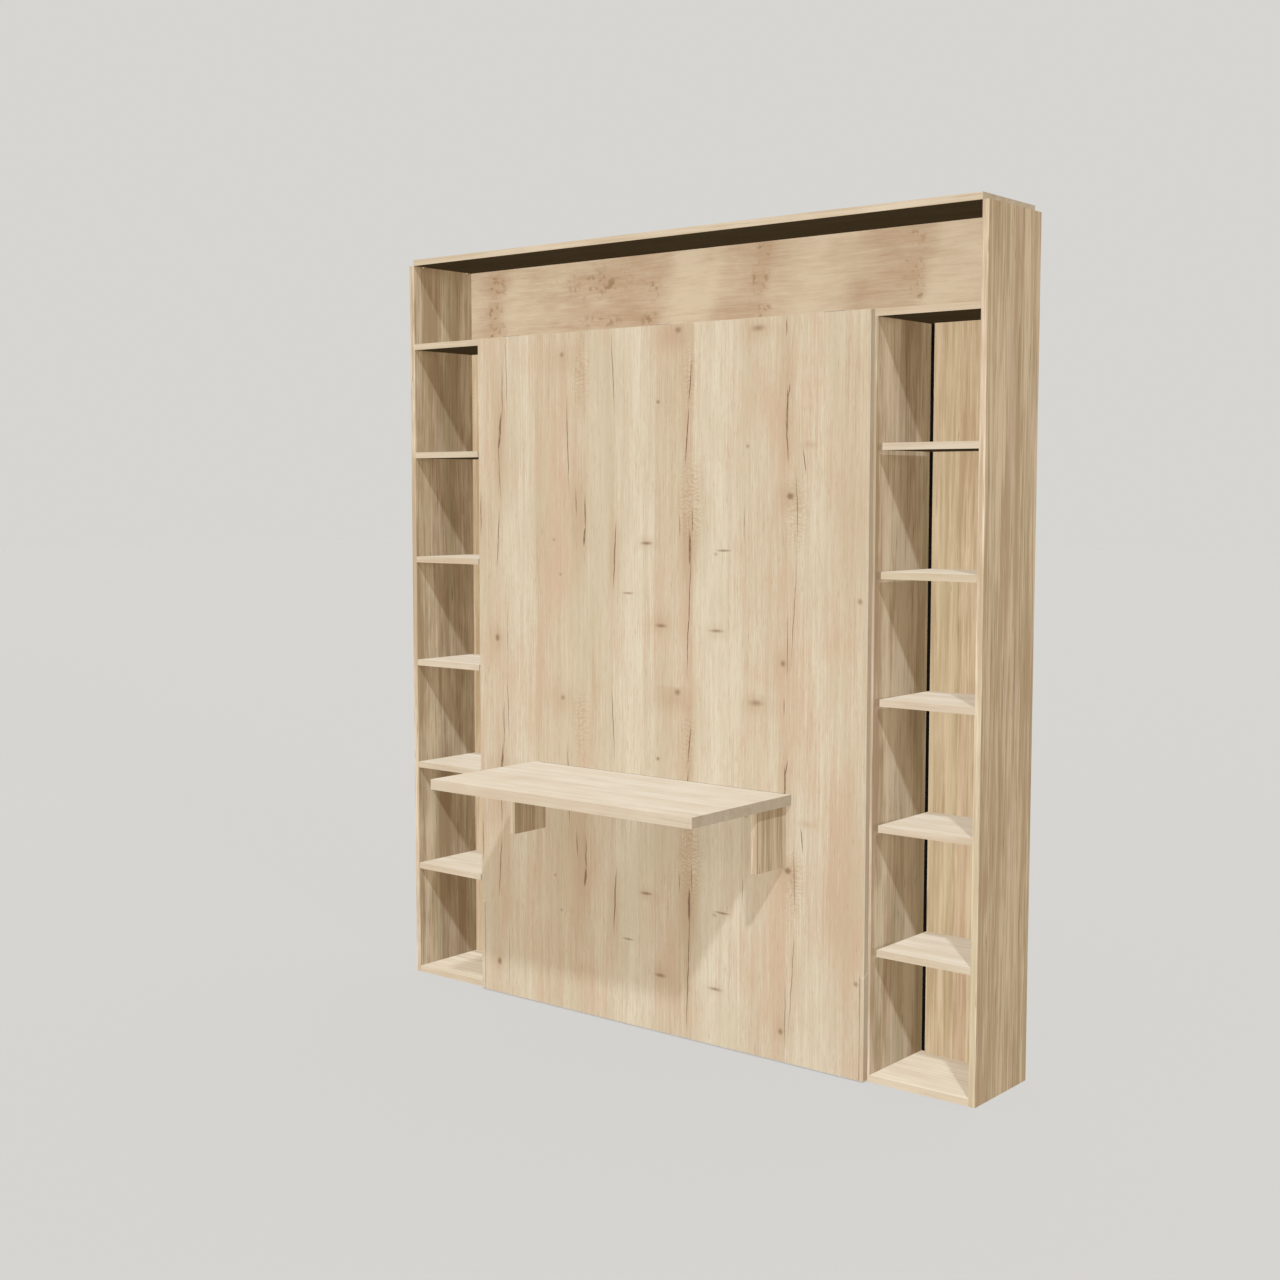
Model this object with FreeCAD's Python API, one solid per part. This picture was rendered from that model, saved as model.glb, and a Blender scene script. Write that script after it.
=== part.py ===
import FreeCAD, Part
import math
import os

# Wall bed with a fold-up desk on its front and an open shelf column at each side.
# Lengths are in millimetres. X runs left to right, Z up, and Y from the front to the wall.
# The pieces are drawn with Y zero on the front edges of the cabinet and X zero in its middle.
# On export they move along Y, so that the origin lies under the middle of the outer box.

# Cabinet
board = 18.0
cabinet_width = 1980.0
cabinet_depth = 267.0
side_height = 2200.0
niche_height = 237.0
bay_width = 1336.0
column_slot = 18.0
slot_cover_thickness = 4.0
shelf_count = 5
shelf_pitch = 321.0
brace_thickness = 18.0
low_brace_height = 100.0
high_brace_height = 120.0
high_brace_drop = 130.0
ledger_thickness = 18.0
ledger_seat = 9.5
ledger_strip_depth = 41.5

# Bed front
front_thickness = 18.0
front_gap = 2.0
front_overlap = 12.0
front_top_drop = 1.0
floor_gap = 4.5
swing_gap = 2.0
filler_gap = 1.0

# Pivot of the bed
pivot_depth = 14.0
pin_radius = 6.0
collar_radius = 12.0
bush_wall = 1.0
bush_flange = 2.0
bush_flange_radius = 13.0
plate_thickness = 6.0
plate_height = 120.0
plate_depth = 80.0
plate_front_inset = 2.0
plate_corner_radius = 8.0

# Bed frame
rail_gap = 28.0
rail_width = 30.0
rail_depth = 60.0
rail_wall = 2.0
rail_floor_gap = 45.0
rail_top_gap = 10.0
cross_rail_height = 30.0
cross_rail_depth = 40.0
batten_count = 3
batten_height = 60.0
batten_thickness = 18.0
slat_count = 13
slat_width = 53.0
slat_thickness = 8.0
slat_bow = 10.0
slat_front_inset = 28.0
slat_tongue = 22.0
holder_length = 24.0
holder_wall = 4.0

# Mattress and its straps
mattress_width = 1200.0
mattress_length = 1800.0
mattress_thickness = 140.0
mattress_front_inset = 52.0
mattress_corner_radius = 60.0
mattress_edge_bevel = 10.0
mattress_foot_gap = 39.0
strap_width = 40.0
strap_thickness = 2.0
strap_tab_depth = 16.0
strap_places_shares = (0.25, 0.75)

# Gas struts
strut_stud_rise = 25.0
strut_anchor_rise = 460.0
strut_radius = 10.0
strut_tube_wall = 1.5
strut_tube_length = 316.0
strut_cap = 8.0
strut_neck = 16.0
strut_rod_radius = 4.0
strut_rod_engaged = 40.0
strut_piston_length = 8.0
strut_eye_radius = 9.0
strut_eye_thickness = 10.0
strut_stud_radius = 4.0
strut_stud_head_radius = 6.0
strut_stud_head = 2.0

# Desk on the bed front
desk_width = 906.0
desk_reach = 428.0
desk_thickness = 28.0
desk_height = 724.0
desk_corner_radius = 2.0
bracket_thickness = 18.0
bracket_reach = 130.0
bracket_height = 165.0
bracket_inset = 18.0
bracket_screw_radius = 2.5
bracket_screw_head_radius = 4.5
bracket_screw_head = 3.0
bracket_screw_length = 60.0
bracket_screw_edge = 35.0
desk_rear_gap = 2.0
desk_fold_gap = 0.6
desk_hinge_length = 870.0
desk_hinge_leaf = 0.8
desk_hinge_leaf_height = 20.0
desk_hinge_barrel_radius = 2.4
desk_hinge_pin_radius = 1.0
desk_hinge_axis_gap = 3.0
desk_hinge_knuckles = 7
magnet_radius = 10.0
magnet_length = 5.0
magnet_skin = 2.0
magnet_spacing = 600.0
magnet_front_inset = 45.0

# Foot board, the middle of the niche floor
foot_side_gap = 2.0
foot_floor_gap = 0.5
foot_rear_gap = 2.0
foot_axis_rise = 0.5
foot_hinge_count = 3
foot_hinge_length = 60.0
foot_hinge_spacing = 560.0
foot_hinge_leaf = 1.5
foot_hinge_leaf_depth = 14.0
foot_hinge_barrel_radius = 1.8
foot_hinge_pin_radius = 0.9

# Small pieces
bar_sides = 12
dowel_radius = 4.0
dowel_length = 30.0
dowel_in_side = 12.0
dowel_edge = 45.0
top_pin_radius = 3.0
top_pin_length = 16.0
top_pin_edge = 40.0
pad_radius = 4.0
pad_count = 3
pad_end_share = 0.25
wall_hole_radius = 4.0
wall_hole_spacing_x = 1200.0
wall_hole_spacing_z = 60.0

# Clearances
fit_gap = 0.3
bore_gap = 0.1
running_gap = 0.05
overrun = 1.0

# Places that follow from the sizes above
side_outer_x = cabinet_width / 2
side_inner_x = side_outer_x - board
divider_inner_x = bay_width / 2
divider_outer_x = divider_inner_x + board
column_start_x = divider_outer_x + column_slot
back_face_y = cabinet_depth - board
niche_floor_top = side_height - niche_height
niche_floor_bottom = niche_floor_top - board
shelf_stack_height = (shelf_count - 1) * shelf_pitch + board
first_shelf_z = (board + niche_floor_bottom - shelf_stack_height) / 2
front_back_y = -front_gap
front_face_y = front_back_y - front_thickness
front_half_width = divider_inner_x + front_overlap
front_top_z = niche_floor_top - front_top_drop
front_low_half_width = divider_inner_x - swing_gap
foot_axis_y = front_back_y / 2
foot_axis_z = niche_floor_top + foot_axis_rise
foot_rear_y = cabinet_depth - ledger_strip_depth - foot_rear_gap
pivot_y = pivot_depth
pivot_z = foot_rear_y - 2 * foot_axis_y + pivot_y + foot_floor_gap
face_arm = pivot_y - front_face_y
notch_radius = math.hypot(face_arm, face_arm + filler_gap)
rail_outer_x = divider_inner_x - rail_gap
rail_inner_x = rail_outer_x - rail_width
rail_back_y = front_back_y + rail_depth
rail_bottom_z = rail_floor_gap
rail_top_z = niche_floor_bottom - rail_top_gap
slat_y = front_back_y + slat_front_inset
mattress_y = front_back_y + mattress_front_inset
mattress_top_z = rail_top_z - mattress_foot_gap
mattress_bottom_z = mattress_top_z - mattress_length
strut_x = divider_inner_x - rail_gap / 2
strut_stud_z = rail_bottom_z + strut_stud_rise
strut_crank = pivot_z - strut_stud_z
strut_anchor_y = pivot_y + strut_crank
strut_anchor_z = pivot_z + strut_anchor_rise
strut_open_length = math.hypot(strut_crank, strut_anchor_rise + strut_crank)
strut_eye_wall_middle = (strut_stud_radius + strut_eye_radius) / 2
desk_half_width = desk_width / 2
desk_bottom_z = desk_height - desk_thickness
desk_axis_y = front_face_y - desk_hinge_axis_gap
desk_axis_z = desk_height - (desk_hinge_axis_gap - desk_fold_gap)
bracket_outer_x = desk_half_width - bracket_inset
bracket_bottom_z = desk_bottom_z - bracket_height
foot_half_width = divider_inner_x - foot_side_gap
reach_in_front = desk_reach - front_face_y
frame_shift_y = (reach_in_front - cabinet_depth) / 2


def slab(x_low, x_high, y_low, y_high, z_low, z_high):
    corner = FreeCAD.Vector(x_low, y_low, z_low)
    return Part.makeBox(x_high - x_low, y_high - y_low, z_high - z_low, corner)


def round_bar(radius, length, start, direction):
    return Part.makeCylinder(radius, length, FreeCAD.Vector(*start), FreeCAD.Vector(*direction))


def many_sided_bar(radius, length, start, direction):
    """Plain bar for dowels, pins and screws that lie hidden in the boards, and for their holes."""
    along = FreeCAD.Vector(*direction)
    centre = FreeCAD.Vector(*start)
    side = FreeCAD.Vector(0, 0, 1)
    turns = [FreeCAD.Rotation(along, 360 * index / bar_sides) for index in range(bar_sides)]
    corners = [centre + turn.multVec(side) * radius for turn in turns]
    outline = Part.Face(Part.makePolygon(corners + corners[:1]))
    return outline.extrude(along * length)


def mirrored(shape):
    return shape.mirror(FreeCAD.Vector(0, 0, 0), FreeCAD.Vector(1, 0, 0))


def pair(shape):
    return [shape, mirrored(shape)]


def evenly(count, low, high):
    step = (high - low) / max(count - 1, 1)
    return [low + step * index for index in range(count)]


# Cabinet boards

def shelf_bottoms():
    return [first_shelf_z + shelf_pitch * index for index in range(shelf_count)]


def dowel_depths():
    return [dowel_edge, back_face_y - dowel_edge]


def dowel_bars(radius, extra):
    """Dowels that join each right-hand shelf to the side panel."""
    length = dowel_length + 2 * extra
    start_x = side_inner_x + dowel_in_side - dowel_length - extra
    bars = []
    for bottom in shelf_bottoms():
        for depth in dowel_depths():
            start = (start_x, depth, bottom + board / 2)
            bars.append(many_sided_bar(radius, length, start, (1, 0, 0)))
    return bars


def top_pin_bars(radius, extra):
    """Steel pins in the side panel that carry the end of the top panel."""
    length = top_pin_length + extra
    start_x = side_inner_x - top_pin_length / 2
    centre_z = side_height - top_pin_radius
    depths = (top_pin_edge, cabinet_depth - top_pin_edge)
    return [many_sided_bar(radius, length, (start_x, depth, centre_z), (1, 0, 0)) for depth in depths]


def side_panel():
    panel = slab(side_inner_x, side_outer_x, 0, cabinet_depth, 0, side_height)
    panel = panel.cut(Part.makeCompound(dowel_bars(dowel_radius + bore_gap, bore_gap)))
    return panel.cut(Part.makeCompound(top_pin_bars(top_pin_radius, bore_gap)))


def plate_outline(extra):
    """Pivot plate body, grown all round by extra, lying in the divider's inner face."""
    plate = slab(
        divider_inner_x, divider_inner_x + plate_thickness + extra,
        plate_front_inset - extra, plate_front_inset + plate_depth + extra,
        pivot_z - plate_height / 2 - extra, pivot_z + plate_height / 2 + extra,
    )
    corners = [edge for edge in plate.Edges if abs(edge.tangentAt(edge.FirstParameter).x) > 0.5]
    return plate.makeFillet(plate_corner_radius + extra, corners)


def divider():
    panel = slab(divider_inner_x, divider_outer_x, 0, cabinet_depth, board, niche_floor_bottom)
    panel = panel.cut(plate_outline(bore_gap))
    return panel.cut(fixed_stud_bar(bore_gap))


def column_floor():
    """Niche floor over one column. It also covers the divider's top edge."""
    return slab(divider_inner_x, side_inner_x, 0, cabinet_depth, niche_floor_bottom, niche_floor_top)


def column_back():
    return slab(column_start_x, side_inner_x, back_face_y, cabinet_depth, board, niche_floor_bottom)


def slot_cover():
    """Dark strip that closes the upright slot between a divider and its column at the rear."""
    return slab(
        divider_outer_x, column_start_x, cabinet_depth - slot_cover_thickness, cabinet_depth,
        board, niche_floor_bottom,
    )


def bottom_panel():
    """Board under one column. The divider and the column's back stand on it."""
    return slab(divider_inner_x, side_inner_x, 0, cabinet_depth, 0, board)


def shelf(bottom):
    plain = slab(column_start_x, side_inner_x, 0, back_face_y, bottom, bottom + board)
    return plain.cut(Part.makeCompound(dowel_bars(dowel_radius + bore_gap, bore_gap)))


def top_panel():
    return slab(-side_inner_x, side_inner_x, 0, cabinet_depth, side_height, side_height + board)


def upper_back():
    return slab(-side_inner_x, side_inner_x, back_face_y, cabinet_depth, niche_floor_top, side_height)


def foot_ledger():
    """Rail that carries the rear edge of the foot board, and the strip of niche floor behind it."""
    seat = slab(
        -divider_inner_x, divider_inner_x, foot_rear_y - ledger_seat, cabinet_depth,
        niche_floor_bottom - ledger_thickness, niche_floor_bottom - fit_gap,
    )
    strip = slab(
        -divider_inner_x, divider_inner_x, foot_rear_y + foot_rear_gap, cabinet_depth,
        niche_floor_bottom - fit_gap, niche_floor_top,
    )
    return [seat, strip]


def low_brace():
    return slab(
        -divider_inner_x, divider_inner_x, cabinet_depth - brace_thickness, cabinet_depth,
        0, low_brace_height,
    )


def high_brace():
    """Rear brace with the four holes for fixing the cabinet to the wall."""
    top = niche_floor_bottom - high_brace_drop
    brace = slab(
        -divider_inner_x, divider_inner_x, cabinet_depth - brace_thickness, cabinet_depth,
        top - high_brace_height, top,
    )
    middle = top - high_brace_height / 2
    for x in (-wall_hole_spacing_x / 2, wall_hole_spacing_x / 2):
        for z in (middle - wall_hole_spacing_z / 2, middle + wall_hole_spacing_z / 2):
            start = (x, cabinet_depth - brace_thickness - overrun, z)
            length = brace_thickness + 2 * overrun
            brace = brace.cut(round_bar(wall_hole_radius, length, start, (0, 1, 0)))
    return brace


def notch_bar(radius, x_low, x_high):
    """Round bar about the pivot. It gives the notch its upper edge, and the filler its top."""
    return round_bar(radius, x_high - x_low, (x_low, pivot_y, pivot_z), (1, 0, 0))


def front_filler():
    """Fixed strip on the divider's edge that fills the notch in the bed front's lower corner."""
    lower = slab(divider_inner_x, front_half_width, front_face_y, 0, floor_gap, pivot_z)
    upper = slab(divider_inner_x, front_half_width, front_face_y, 0, pivot_z, pivot_z + notch_radius)
    top = upper.common(notch_bar(notch_radius - filler_gap, divider_inner_x, front_half_width))
    return lower.fuse(top).removeSplitter()


def bumper_pads():
    x = (divider_inner_x + front_half_width) / 2
    length = front_gap - fit_gap
    places = evenly(pad_count, pad_end_share * front_top_z, (1 - pad_end_share) * front_top_z)
    pads = []
    for z in places:
        pads.extend(pair(round_bar(pad_radius, length, (x, -length, z), (0, 1, 0))))
    return pads


# Pivot and gas struts

def pivot_plate():
    plate = plate_outline(0)
    start = (divider_inner_x - overrun, pivot_y, pivot_z)
    hole_radius = pin_radius + running_gap + bush_wall
    return plate.cut(round_bar(hole_radius, plate_thickness + 2 * overrun, start, (1, 0, 0)))


def pivot_bush():
    body_radius = pin_radius + running_gap + bush_wall
    flange_start = (divider_inner_x - bush_flange, pivot_y, pivot_z)
    body = round_bar(body_radius, bush_flange + plate_thickness, flange_start, (1, 0, 0))
    flange = round_bar(bush_flange_radius, bush_flange, flange_start, (1, 0, 0))
    bore_start = (divider_inner_x - bush_flange - overrun, pivot_y, pivot_z)
    bore_length = bush_flange + plate_thickness + 2 * overrun
    bore = round_bar(pin_radius + running_gap, bore_length, bore_start, (1, 0, 0))
    return body.fuse(flange).removeSplitter().cut(bore)


def pivot_pin():
    """Stepped pin welded through the side rail, with its journal in the bush."""
    inner_x = rail_inner_x - rail_wall
    journal_end = divider_inner_x + plate_thickness - fit_gap
    collar_end = divider_inner_x - bush_flange - fit_gap
    shank = round_bar(pin_radius, journal_end - inner_x, (inner_x, pivot_y, pivot_z), (1, 0, 0))
    collar = round_bar(collar_radius, collar_end - rail_outer_x, (rail_outer_x, pivot_y, pivot_z), (1, 0, 0))
    return shank.fuse(collar).removeSplitter()


def fixed_stud_bar(extra):
    embedded = board / 2
    start = (divider_inner_x - fit_gap, strut_anchor_y, strut_anchor_z)
    return round_bar(strut_stud_radius + extra, embedded + fit_gap + extra, start, (1, 0, 0))


def fixed_stud():
    """Stud in the divider that the strut's tube hangs on, with a head that keeps the eye on."""
    head_x = strut_x - strut_eye_thickness / 2 - fit_gap - strut_stud_head
    end_x = divider_inner_x + board / 2
    centre = (head_x, strut_anchor_y, strut_anchor_z)
    shank = round_bar(strut_stud_radius, end_x - head_x, centre, (1, 0, 0))
    head = round_bar(strut_stud_head_radius, strut_stud_head, centre, (1, 0, 0))
    collar_x = strut_x + strut_eye_thickness / 2 + fit_gap
    collar_start = (collar_x, strut_anchor_y, strut_anchor_z)
    collar = round_bar(strut_stud_head_radius, divider_inner_x - collar_x, collar_start, (1, 0, 0))
    return shank.fuse([head, collar]).removeSplitter()


def moving_stud():
    """Stud on the side rail beside the eye of the strut's rod."""
    end_x = strut_x - strut_eye_thickness / 2 - fit_gap
    start = (rail_outer_x, pivot_y, strut_stud_z)
    shank = round_bar(strut_stud_radius, end_x - rail_outer_x, start, (1, 0, 0))
    washer = round_bar(strut_stud_head_radius, strut_stud_head, start, (1, 0, 0))
    return shank.fuse(washer).removeSplitter()


def along_strut(distance):
    """Point on the strut's axis, measured from its upper anchor towards its lower end."""
    share = distance / strut_open_length
    y = strut_anchor_y + (pivot_y - strut_anchor_y) * share
    z = strut_anchor_z + (strut_stud_z - strut_anchor_z) * share
    return (strut_x, y, z)


def strut_direction():
    run_y = (pivot_y - strut_anchor_y) / strut_open_length
    run_z = (strut_stud_z - strut_anchor_z) / strut_open_length
    return (0, run_y, run_z)


def strut_bar(radius, low, high):
    return round_bar(radius, high - low, along_strut(low), strut_direction())


def strut_eye(distance, hole_radius):
    x, y, z = along_strut(distance)
    start = (x - strut_eye_thickness / 2, y, z)
    ring = round_bar(strut_eye_radius, strut_eye_thickness, start, (1, 0, 0))
    hole_start = (x - strut_eye_thickness / 2 - overrun, y, z)
    hole = round_bar(hole_radius, strut_eye_thickness + 2 * overrun, hole_start, (1, 0, 0))
    return ring, hole


def strut_cylinder():
    tube_start = strut_neck
    tube_end = strut_neck + strut_tube_length
    ring, hole = strut_eye(0, strut_stud_radius + running_gap)
    neck = strut_bar(strut_rod_radius, strut_eye_wall_middle, tube_start + overrun)
    tube = strut_bar(strut_radius, tube_start, tube_end)
    bore = strut_bar(strut_radius - strut_tube_wall, tube_start + strut_cap, tube_end - strut_cap)
    guide = strut_bar(strut_rod_radius + running_gap, tube_end - strut_cap - overrun, tube_end + overrun)
    solid = ring.fuse([neck, tube]).removeSplitter()
    return solid.cut(Part.makeCompound([hole])).cut(bore).cut(guide)


def strut_rod():
    tube_end = strut_neck + strut_tube_length
    piston_start = tube_end - strut_cap - strut_rod_engaged
    piston_end = piston_start + strut_piston_length
    ring, hole = strut_eye(strut_open_length, strut_stud_radius + running_gap)
    rod = strut_bar(strut_rod_radius, piston_start, strut_open_length - strut_eye_wall_middle)
    piston = strut_bar(strut_radius - strut_tube_wall - running_gap, piston_start, piston_end)
    return ring.fuse([rod, piston]).removeSplitter().cut(hole)


# Bed front and frame

def foot_hinge_places():
    half = foot_hinge_spacing * (foot_hinge_count - 1) / 2
    return evenly(foot_hinge_count, -half, half)


def foot_hinge_span(centre):
    return centre - foot_hinge_length / 2, centre + foot_hinge_length / 2


def foot_barrel_room(centre):
    low, high = foot_hinge_span(centre)
    start = (low - fit_gap, foot_axis_y, foot_axis_z)
    return round_bar(foot_hinge_barrel_radius + fit_gap, high - low + 2 * fit_gap, start, (1, 0, 0))


def bed_front():
    """Full-height front. Its lower corners are notched, so that it swings in between the dividers."""
    panel = slab(
        -front_half_width, front_half_width, front_face_y, front_back_y, floor_gap, front_top_z,
    )
    notch_end_x = front_half_width + overrun
    cuts = pair(notch_bar(notch_radius, front_low_half_width, notch_end_x))
    cuts.extend(pair(slab(
        front_low_half_width, notch_end_x, front_face_y - overrun, front_back_y + overrun,
        floor_gap - overrun, pivot_z,
    )))
    for centre in foot_hinge_places():
        low, high = foot_hinge_span(centre)
        cuts.append(slab(
            low, high, foot_axis_y - foot_hinge_leaf_depth, front_back_y + overrun,
            front_top_z - foot_hinge_leaf, front_top_z + overrun,
        ))
        cuts.append(foot_barrel_room(centre))
    cuts.extend(front_magnet_bars(bore_gap))
    cuts.extend(bracket_screw_bars(bore_gap))
    return panel.cut(Part.makeCompound(cuts))


def front_magnet_bars(extra):
    z = desk_axis_z + desk_reach - magnet_front_inset
    depth = front_thickness - magnet_skin - magnet_length
    start = (magnet_spacing / 2, front_back_y - depth - magnet_length - extra, z)
    return pair(round_bar(magnet_radius + extra, magnet_length + extra, start, (0, 1, 0)))


def side_rail():
    outer = slab(rail_inner_x, rail_outer_x, front_back_y, rail_back_y, rail_bottom_z, rail_top_z)
    hollow = slab(
        rail_inner_x + rail_wall, rail_outer_x - rail_wall,
        front_back_y + rail_wall, rail_back_y - rail_wall,
        rail_bottom_z - overrun, rail_top_z + overrun,
    )
    start = (rail_inner_x - rail_wall - overrun, pivot_y, pivot_z)
    hole = round_bar(pin_radius, rail_width + rail_wall + 2 * overrun, start, (1, 0, 0))
    return outer.cut(hollow).cut(hole)


def cross_rail(bottom):
    """Rectangular tube between the two side rails."""
    back = front_back_y + cross_rail_depth
    outer = slab(-rail_inner_x, rail_inner_x, front_back_y, back, bottom, bottom + cross_rail_height)
    hollow = slab(
        -rail_inner_x - overrun, rail_inner_x + overrun,
        front_back_y + rail_wall, back - rail_wall,
        bottom + rail_wall, bottom + cross_rail_height - rail_wall,
    )
    return outer.cut(hollow)


def front_battens():
    """Battens that stiffen the bed front between the cross rails."""
    places = evenly(batten_count + 2, rail_bottom_z, rail_top_z)[1:-1]
    back = front_back_y + batten_thickness
    battens = []
    for z in places:
        battens.append(slab(
            -rail_inner_x, rail_inner_x, front_back_y, back, z - batten_height / 2, z + batten_height / 2,
        ))
    return battens


def slat_places():
    low = rail_bottom_z + cross_rail_height + slat_width
    high = rail_top_z - cross_rail_height - slat_width
    return evenly(slat_count, low, high)


def slat(z):
    """Sprung slat: straight tongues at the ends, and a bow towards the mattress between them."""
    end_x = rail_inner_x - holder_wall
    bend_x = end_x - slat_tongue
    low = slat_y
    high = slat_y + slat_thickness

    def point(x, y):
        return FreeCAD.Vector(x, y, z - slat_width / 2)

    edges = [
        Part.makeLine(point(-end_x, low), point(-bend_x, low)),
        Part.Arc(point(-bend_x, low), point(0, low + slat_bow), point(bend_x, low)).toShape(),
        Part.makeLine(point(bend_x, low), point(end_x, low)),
        Part.makeLine(point(end_x, low), point(end_x, high)),
        Part.makeLine(point(end_x, high), point(bend_x, high)),
        Part.Arc(point(bend_x, high), point(0, high + slat_bow), point(-bend_x, high)).toShape(),
        Part.makeLine(point(-bend_x, high), point(-end_x, high)),
        Part.makeLine(point(-end_x, high), point(-end_x, low)),
    ]
    outline = Part.Face(Part.Wire(edges))
    return outline.extrude(FreeCAD.Vector(0, 0, slat_width))


def slat_holder(z):
    """Plastic socket on the side rail that holds one end of a slat."""
    half = slat_width / 2 + holder_wall
    block = slab(
        rail_inner_x - holder_length, rail_inner_x, slat_y - holder_wall,
        slat_y + slat_thickness + holder_wall, z - half, z + half,
    )
    pocket = slab(
        rail_inner_x - holder_length - overrun, rail_inner_x - holder_wall + bore_gap,
        slat_y - bore_gap, slat_y + slat_thickness + bore_gap,
        z - slat_width / 2 - bore_gap, z + slat_width / 2 + bore_gap,
    )
    return block.cut(pocket)


def mattress():
    half = mattress_width / 2
    body = slab(
        -half, half, mattress_y, mattress_y + mattress_thickness, mattress_bottom_z, mattress_top_z,
    )
    upright = [edge for edge in body.Edges if abs(edge.tangentAt(edge.FirstParameter).y) > 0.5]
    body = body.makeFillet(mattress_corner_radius, upright)
    rims = [edge for edge in body.Edges if abs(edge.tangentAt(edge.FirstParameter).y) < 0.5]
    return body.makeChamfer(mattress_edge_bevel, rims)


def mattress_strap(z):
    """Band over the mattress, with a tab at each end that meets the side rail."""
    inner_x = mattress_width / 2 + fit_gap
    outer_x = inner_x + strap_thickness
    top_y = mattress_y + mattress_thickness + fit_gap
    low = z - strap_width / 2
    high = z + strap_width / 2
    tab_back = rail_back_y - rail_wall
    tab_front = tab_back - strap_tab_depth
    band = slab(-outer_x, outer_x, tab_front, top_y + strap_thickness, low, high)
    room = slab(-inner_x, inner_x, tab_front - overrun, top_y, low - overrun, high + overrun)
    tab = slab(inner_x, rail_inner_x - fit_gap, tab_front, tab_back, low, high)
    return band.cut(room).fuse(pair(tab)).removeSplitter()


def mattress_straps():
    low = mattress_bottom_z
    return [mattress_strap(low + mattress_length * share) for share in strap_places_shares]


# Desk

def desk_bracket():
    inner_x = bracket_outer_x - bracket_thickness
    plain = slab(
        inner_x, bracket_outer_x, front_face_y - bracket_reach, front_face_y,
        bracket_bottom_z, desk_bottom_z - fit_gap,
    )
    return plain.cut(Part.makeCompound(bracket_screw_bars(bore_gap)))


def bracket_screw_bars(extra):
    """Screws that come through the bed front from behind into the two brackets."""
    x = bracket_outer_x - bracket_thickness / 2
    low = bracket_bottom_z + bracket_screw_edge
    high = desk_bottom_z - bracket_screw_edge
    bars = []
    for z in (low, high):
        tip = (x, front_back_y - bracket_screw_length - extra, z)
        shank = many_sided_bar(bracket_screw_radius + extra, bracket_screw_length + extra, tip, (0, 1, 0))
        head_start = (x, front_back_y - bracket_screw_head - extra, z)
        head_radius = bracket_screw_head_radius + extra
        head = many_sided_bar(head_radius, bracket_screw_head + extra, head_start, (0, 1, 0))
        bars.extend(pair(shank.fuse(head).removeSplitter()))
    return bars


def desk_top():
    rear = front_face_y - desk_rear_gap
    top = slab(
        -desk_half_width, desk_half_width, front_face_y - desk_reach, rear,
        desk_bottom_z, desk_height,
    )
    front_corners = []
    for edge in top.Edges:
        upright = abs(edge.tangentAt(edge.FirstParameter).z) > 0.5
        if upright and edge.CenterOfMass.y < front_face_y - desk_reach / 2:
            front_corners.append(edge)
    top = top.makeFillet(desk_corner_radius, front_corners)
    room = desk_hinge_barrel_radius + fit_gap
    half = desk_hinge_length / 2 + fit_gap
    rebate = slab(
        -half, half, desk_axis_y - room, rear + overrun, desk_axis_z - room, desk_height + overrun,
    )
    return top.cut(rebate).cut(Part.makeCompound(desk_magnet_bars(bore_gap)))


def desk_magnet_bars(extra):
    """Magnets under the desk's upper skin. They meet those in the bed front when the desk is folded."""
    y = front_face_y - desk_reach + magnet_front_inset - desk_hinge_axis_gap
    start = (magnet_spacing / 2, y, desk_height - magnet_skin - magnet_length - extra)
    return pair(round_bar(magnet_radius + extra, magnet_length + extra, start, (0, 0, 1)))


def knuckle_spans(count, length, parity):
    """Every second stretch of a hinge barrel, shortened a little at both ends."""
    pitch = length / count
    spans = []
    for index in range(parity, count, 2):
        low = -length / 2 + pitch * index + fit_gap / 2
        spans.append((low, pitch - fit_gap))
    return spans


def desk_hinge_leaf_plate(y_low, y_high, parity):
    """One leaf of the desk's continuous hinge, with its knuckles round the pin."""
    half = desk_hinge_length / 2
    plate = slab(-half, half, y_low, y_high, desk_axis_z - desk_hinge_leaf_height, desk_axis_z)
    other = 1 - parity
    clear = desk_hinge_barrel_radius + fit_gap
    for low, length in knuckle_spans(desk_hinge_knuckles, desk_hinge_length, other):
        plate = plate.cut(slab(
            low - fit_gap / 2, low + length + fit_gap / 2, y_low - overrun, y_high + overrun,
            desk_axis_z - clear, desk_axis_z + overrun,
        ))
    knuckles = []
    for low, length in knuckle_spans(desk_hinge_knuckles, desk_hinge_length, parity):
        start = (low, desk_axis_y, desk_axis_z)
        knuckles.append(round_bar(desk_hinge_barrel_radius, length, start, (1, 0, 0)))
        knuckles.append(slab(
            low, low + length, desk_axis_y, y_high, desk_axis_z - desk_hinge_leaf, desk_axis_z,
        ))
    bore_start = (-half - overrun, desk_axis_y, desk_axis_z)
    bore_length = desk_hinge_length + 2 * overrun
    bore = round_bar(desk_hinge_pin_radius + running_gap, bore_length, bore_start, (1, 0, 0))
    return plate.fuse(knuckles).removeSplitter().cut(bore)


def desk_hinge_bed_leaf():
    return desk_hinge_leaf_plate(front_face_y - desk_hinge_leaf, front_face_y, 0)


def desk_hinge_top_leaf():
    rear = front_face_y - desk_rear_gap
    return desk_hinge_leaf_plate(rear, rear + desk_hinge_leaf, 1)


def desk_hinge_pin():
    start = (-desk_hinge_length / 2, desk_axis_y, desk_axis_z)
    return round_bar(desk_hinge_pin_radius, desk_hinge_length, start, (1, 0, 0))


# Foot board

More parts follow.
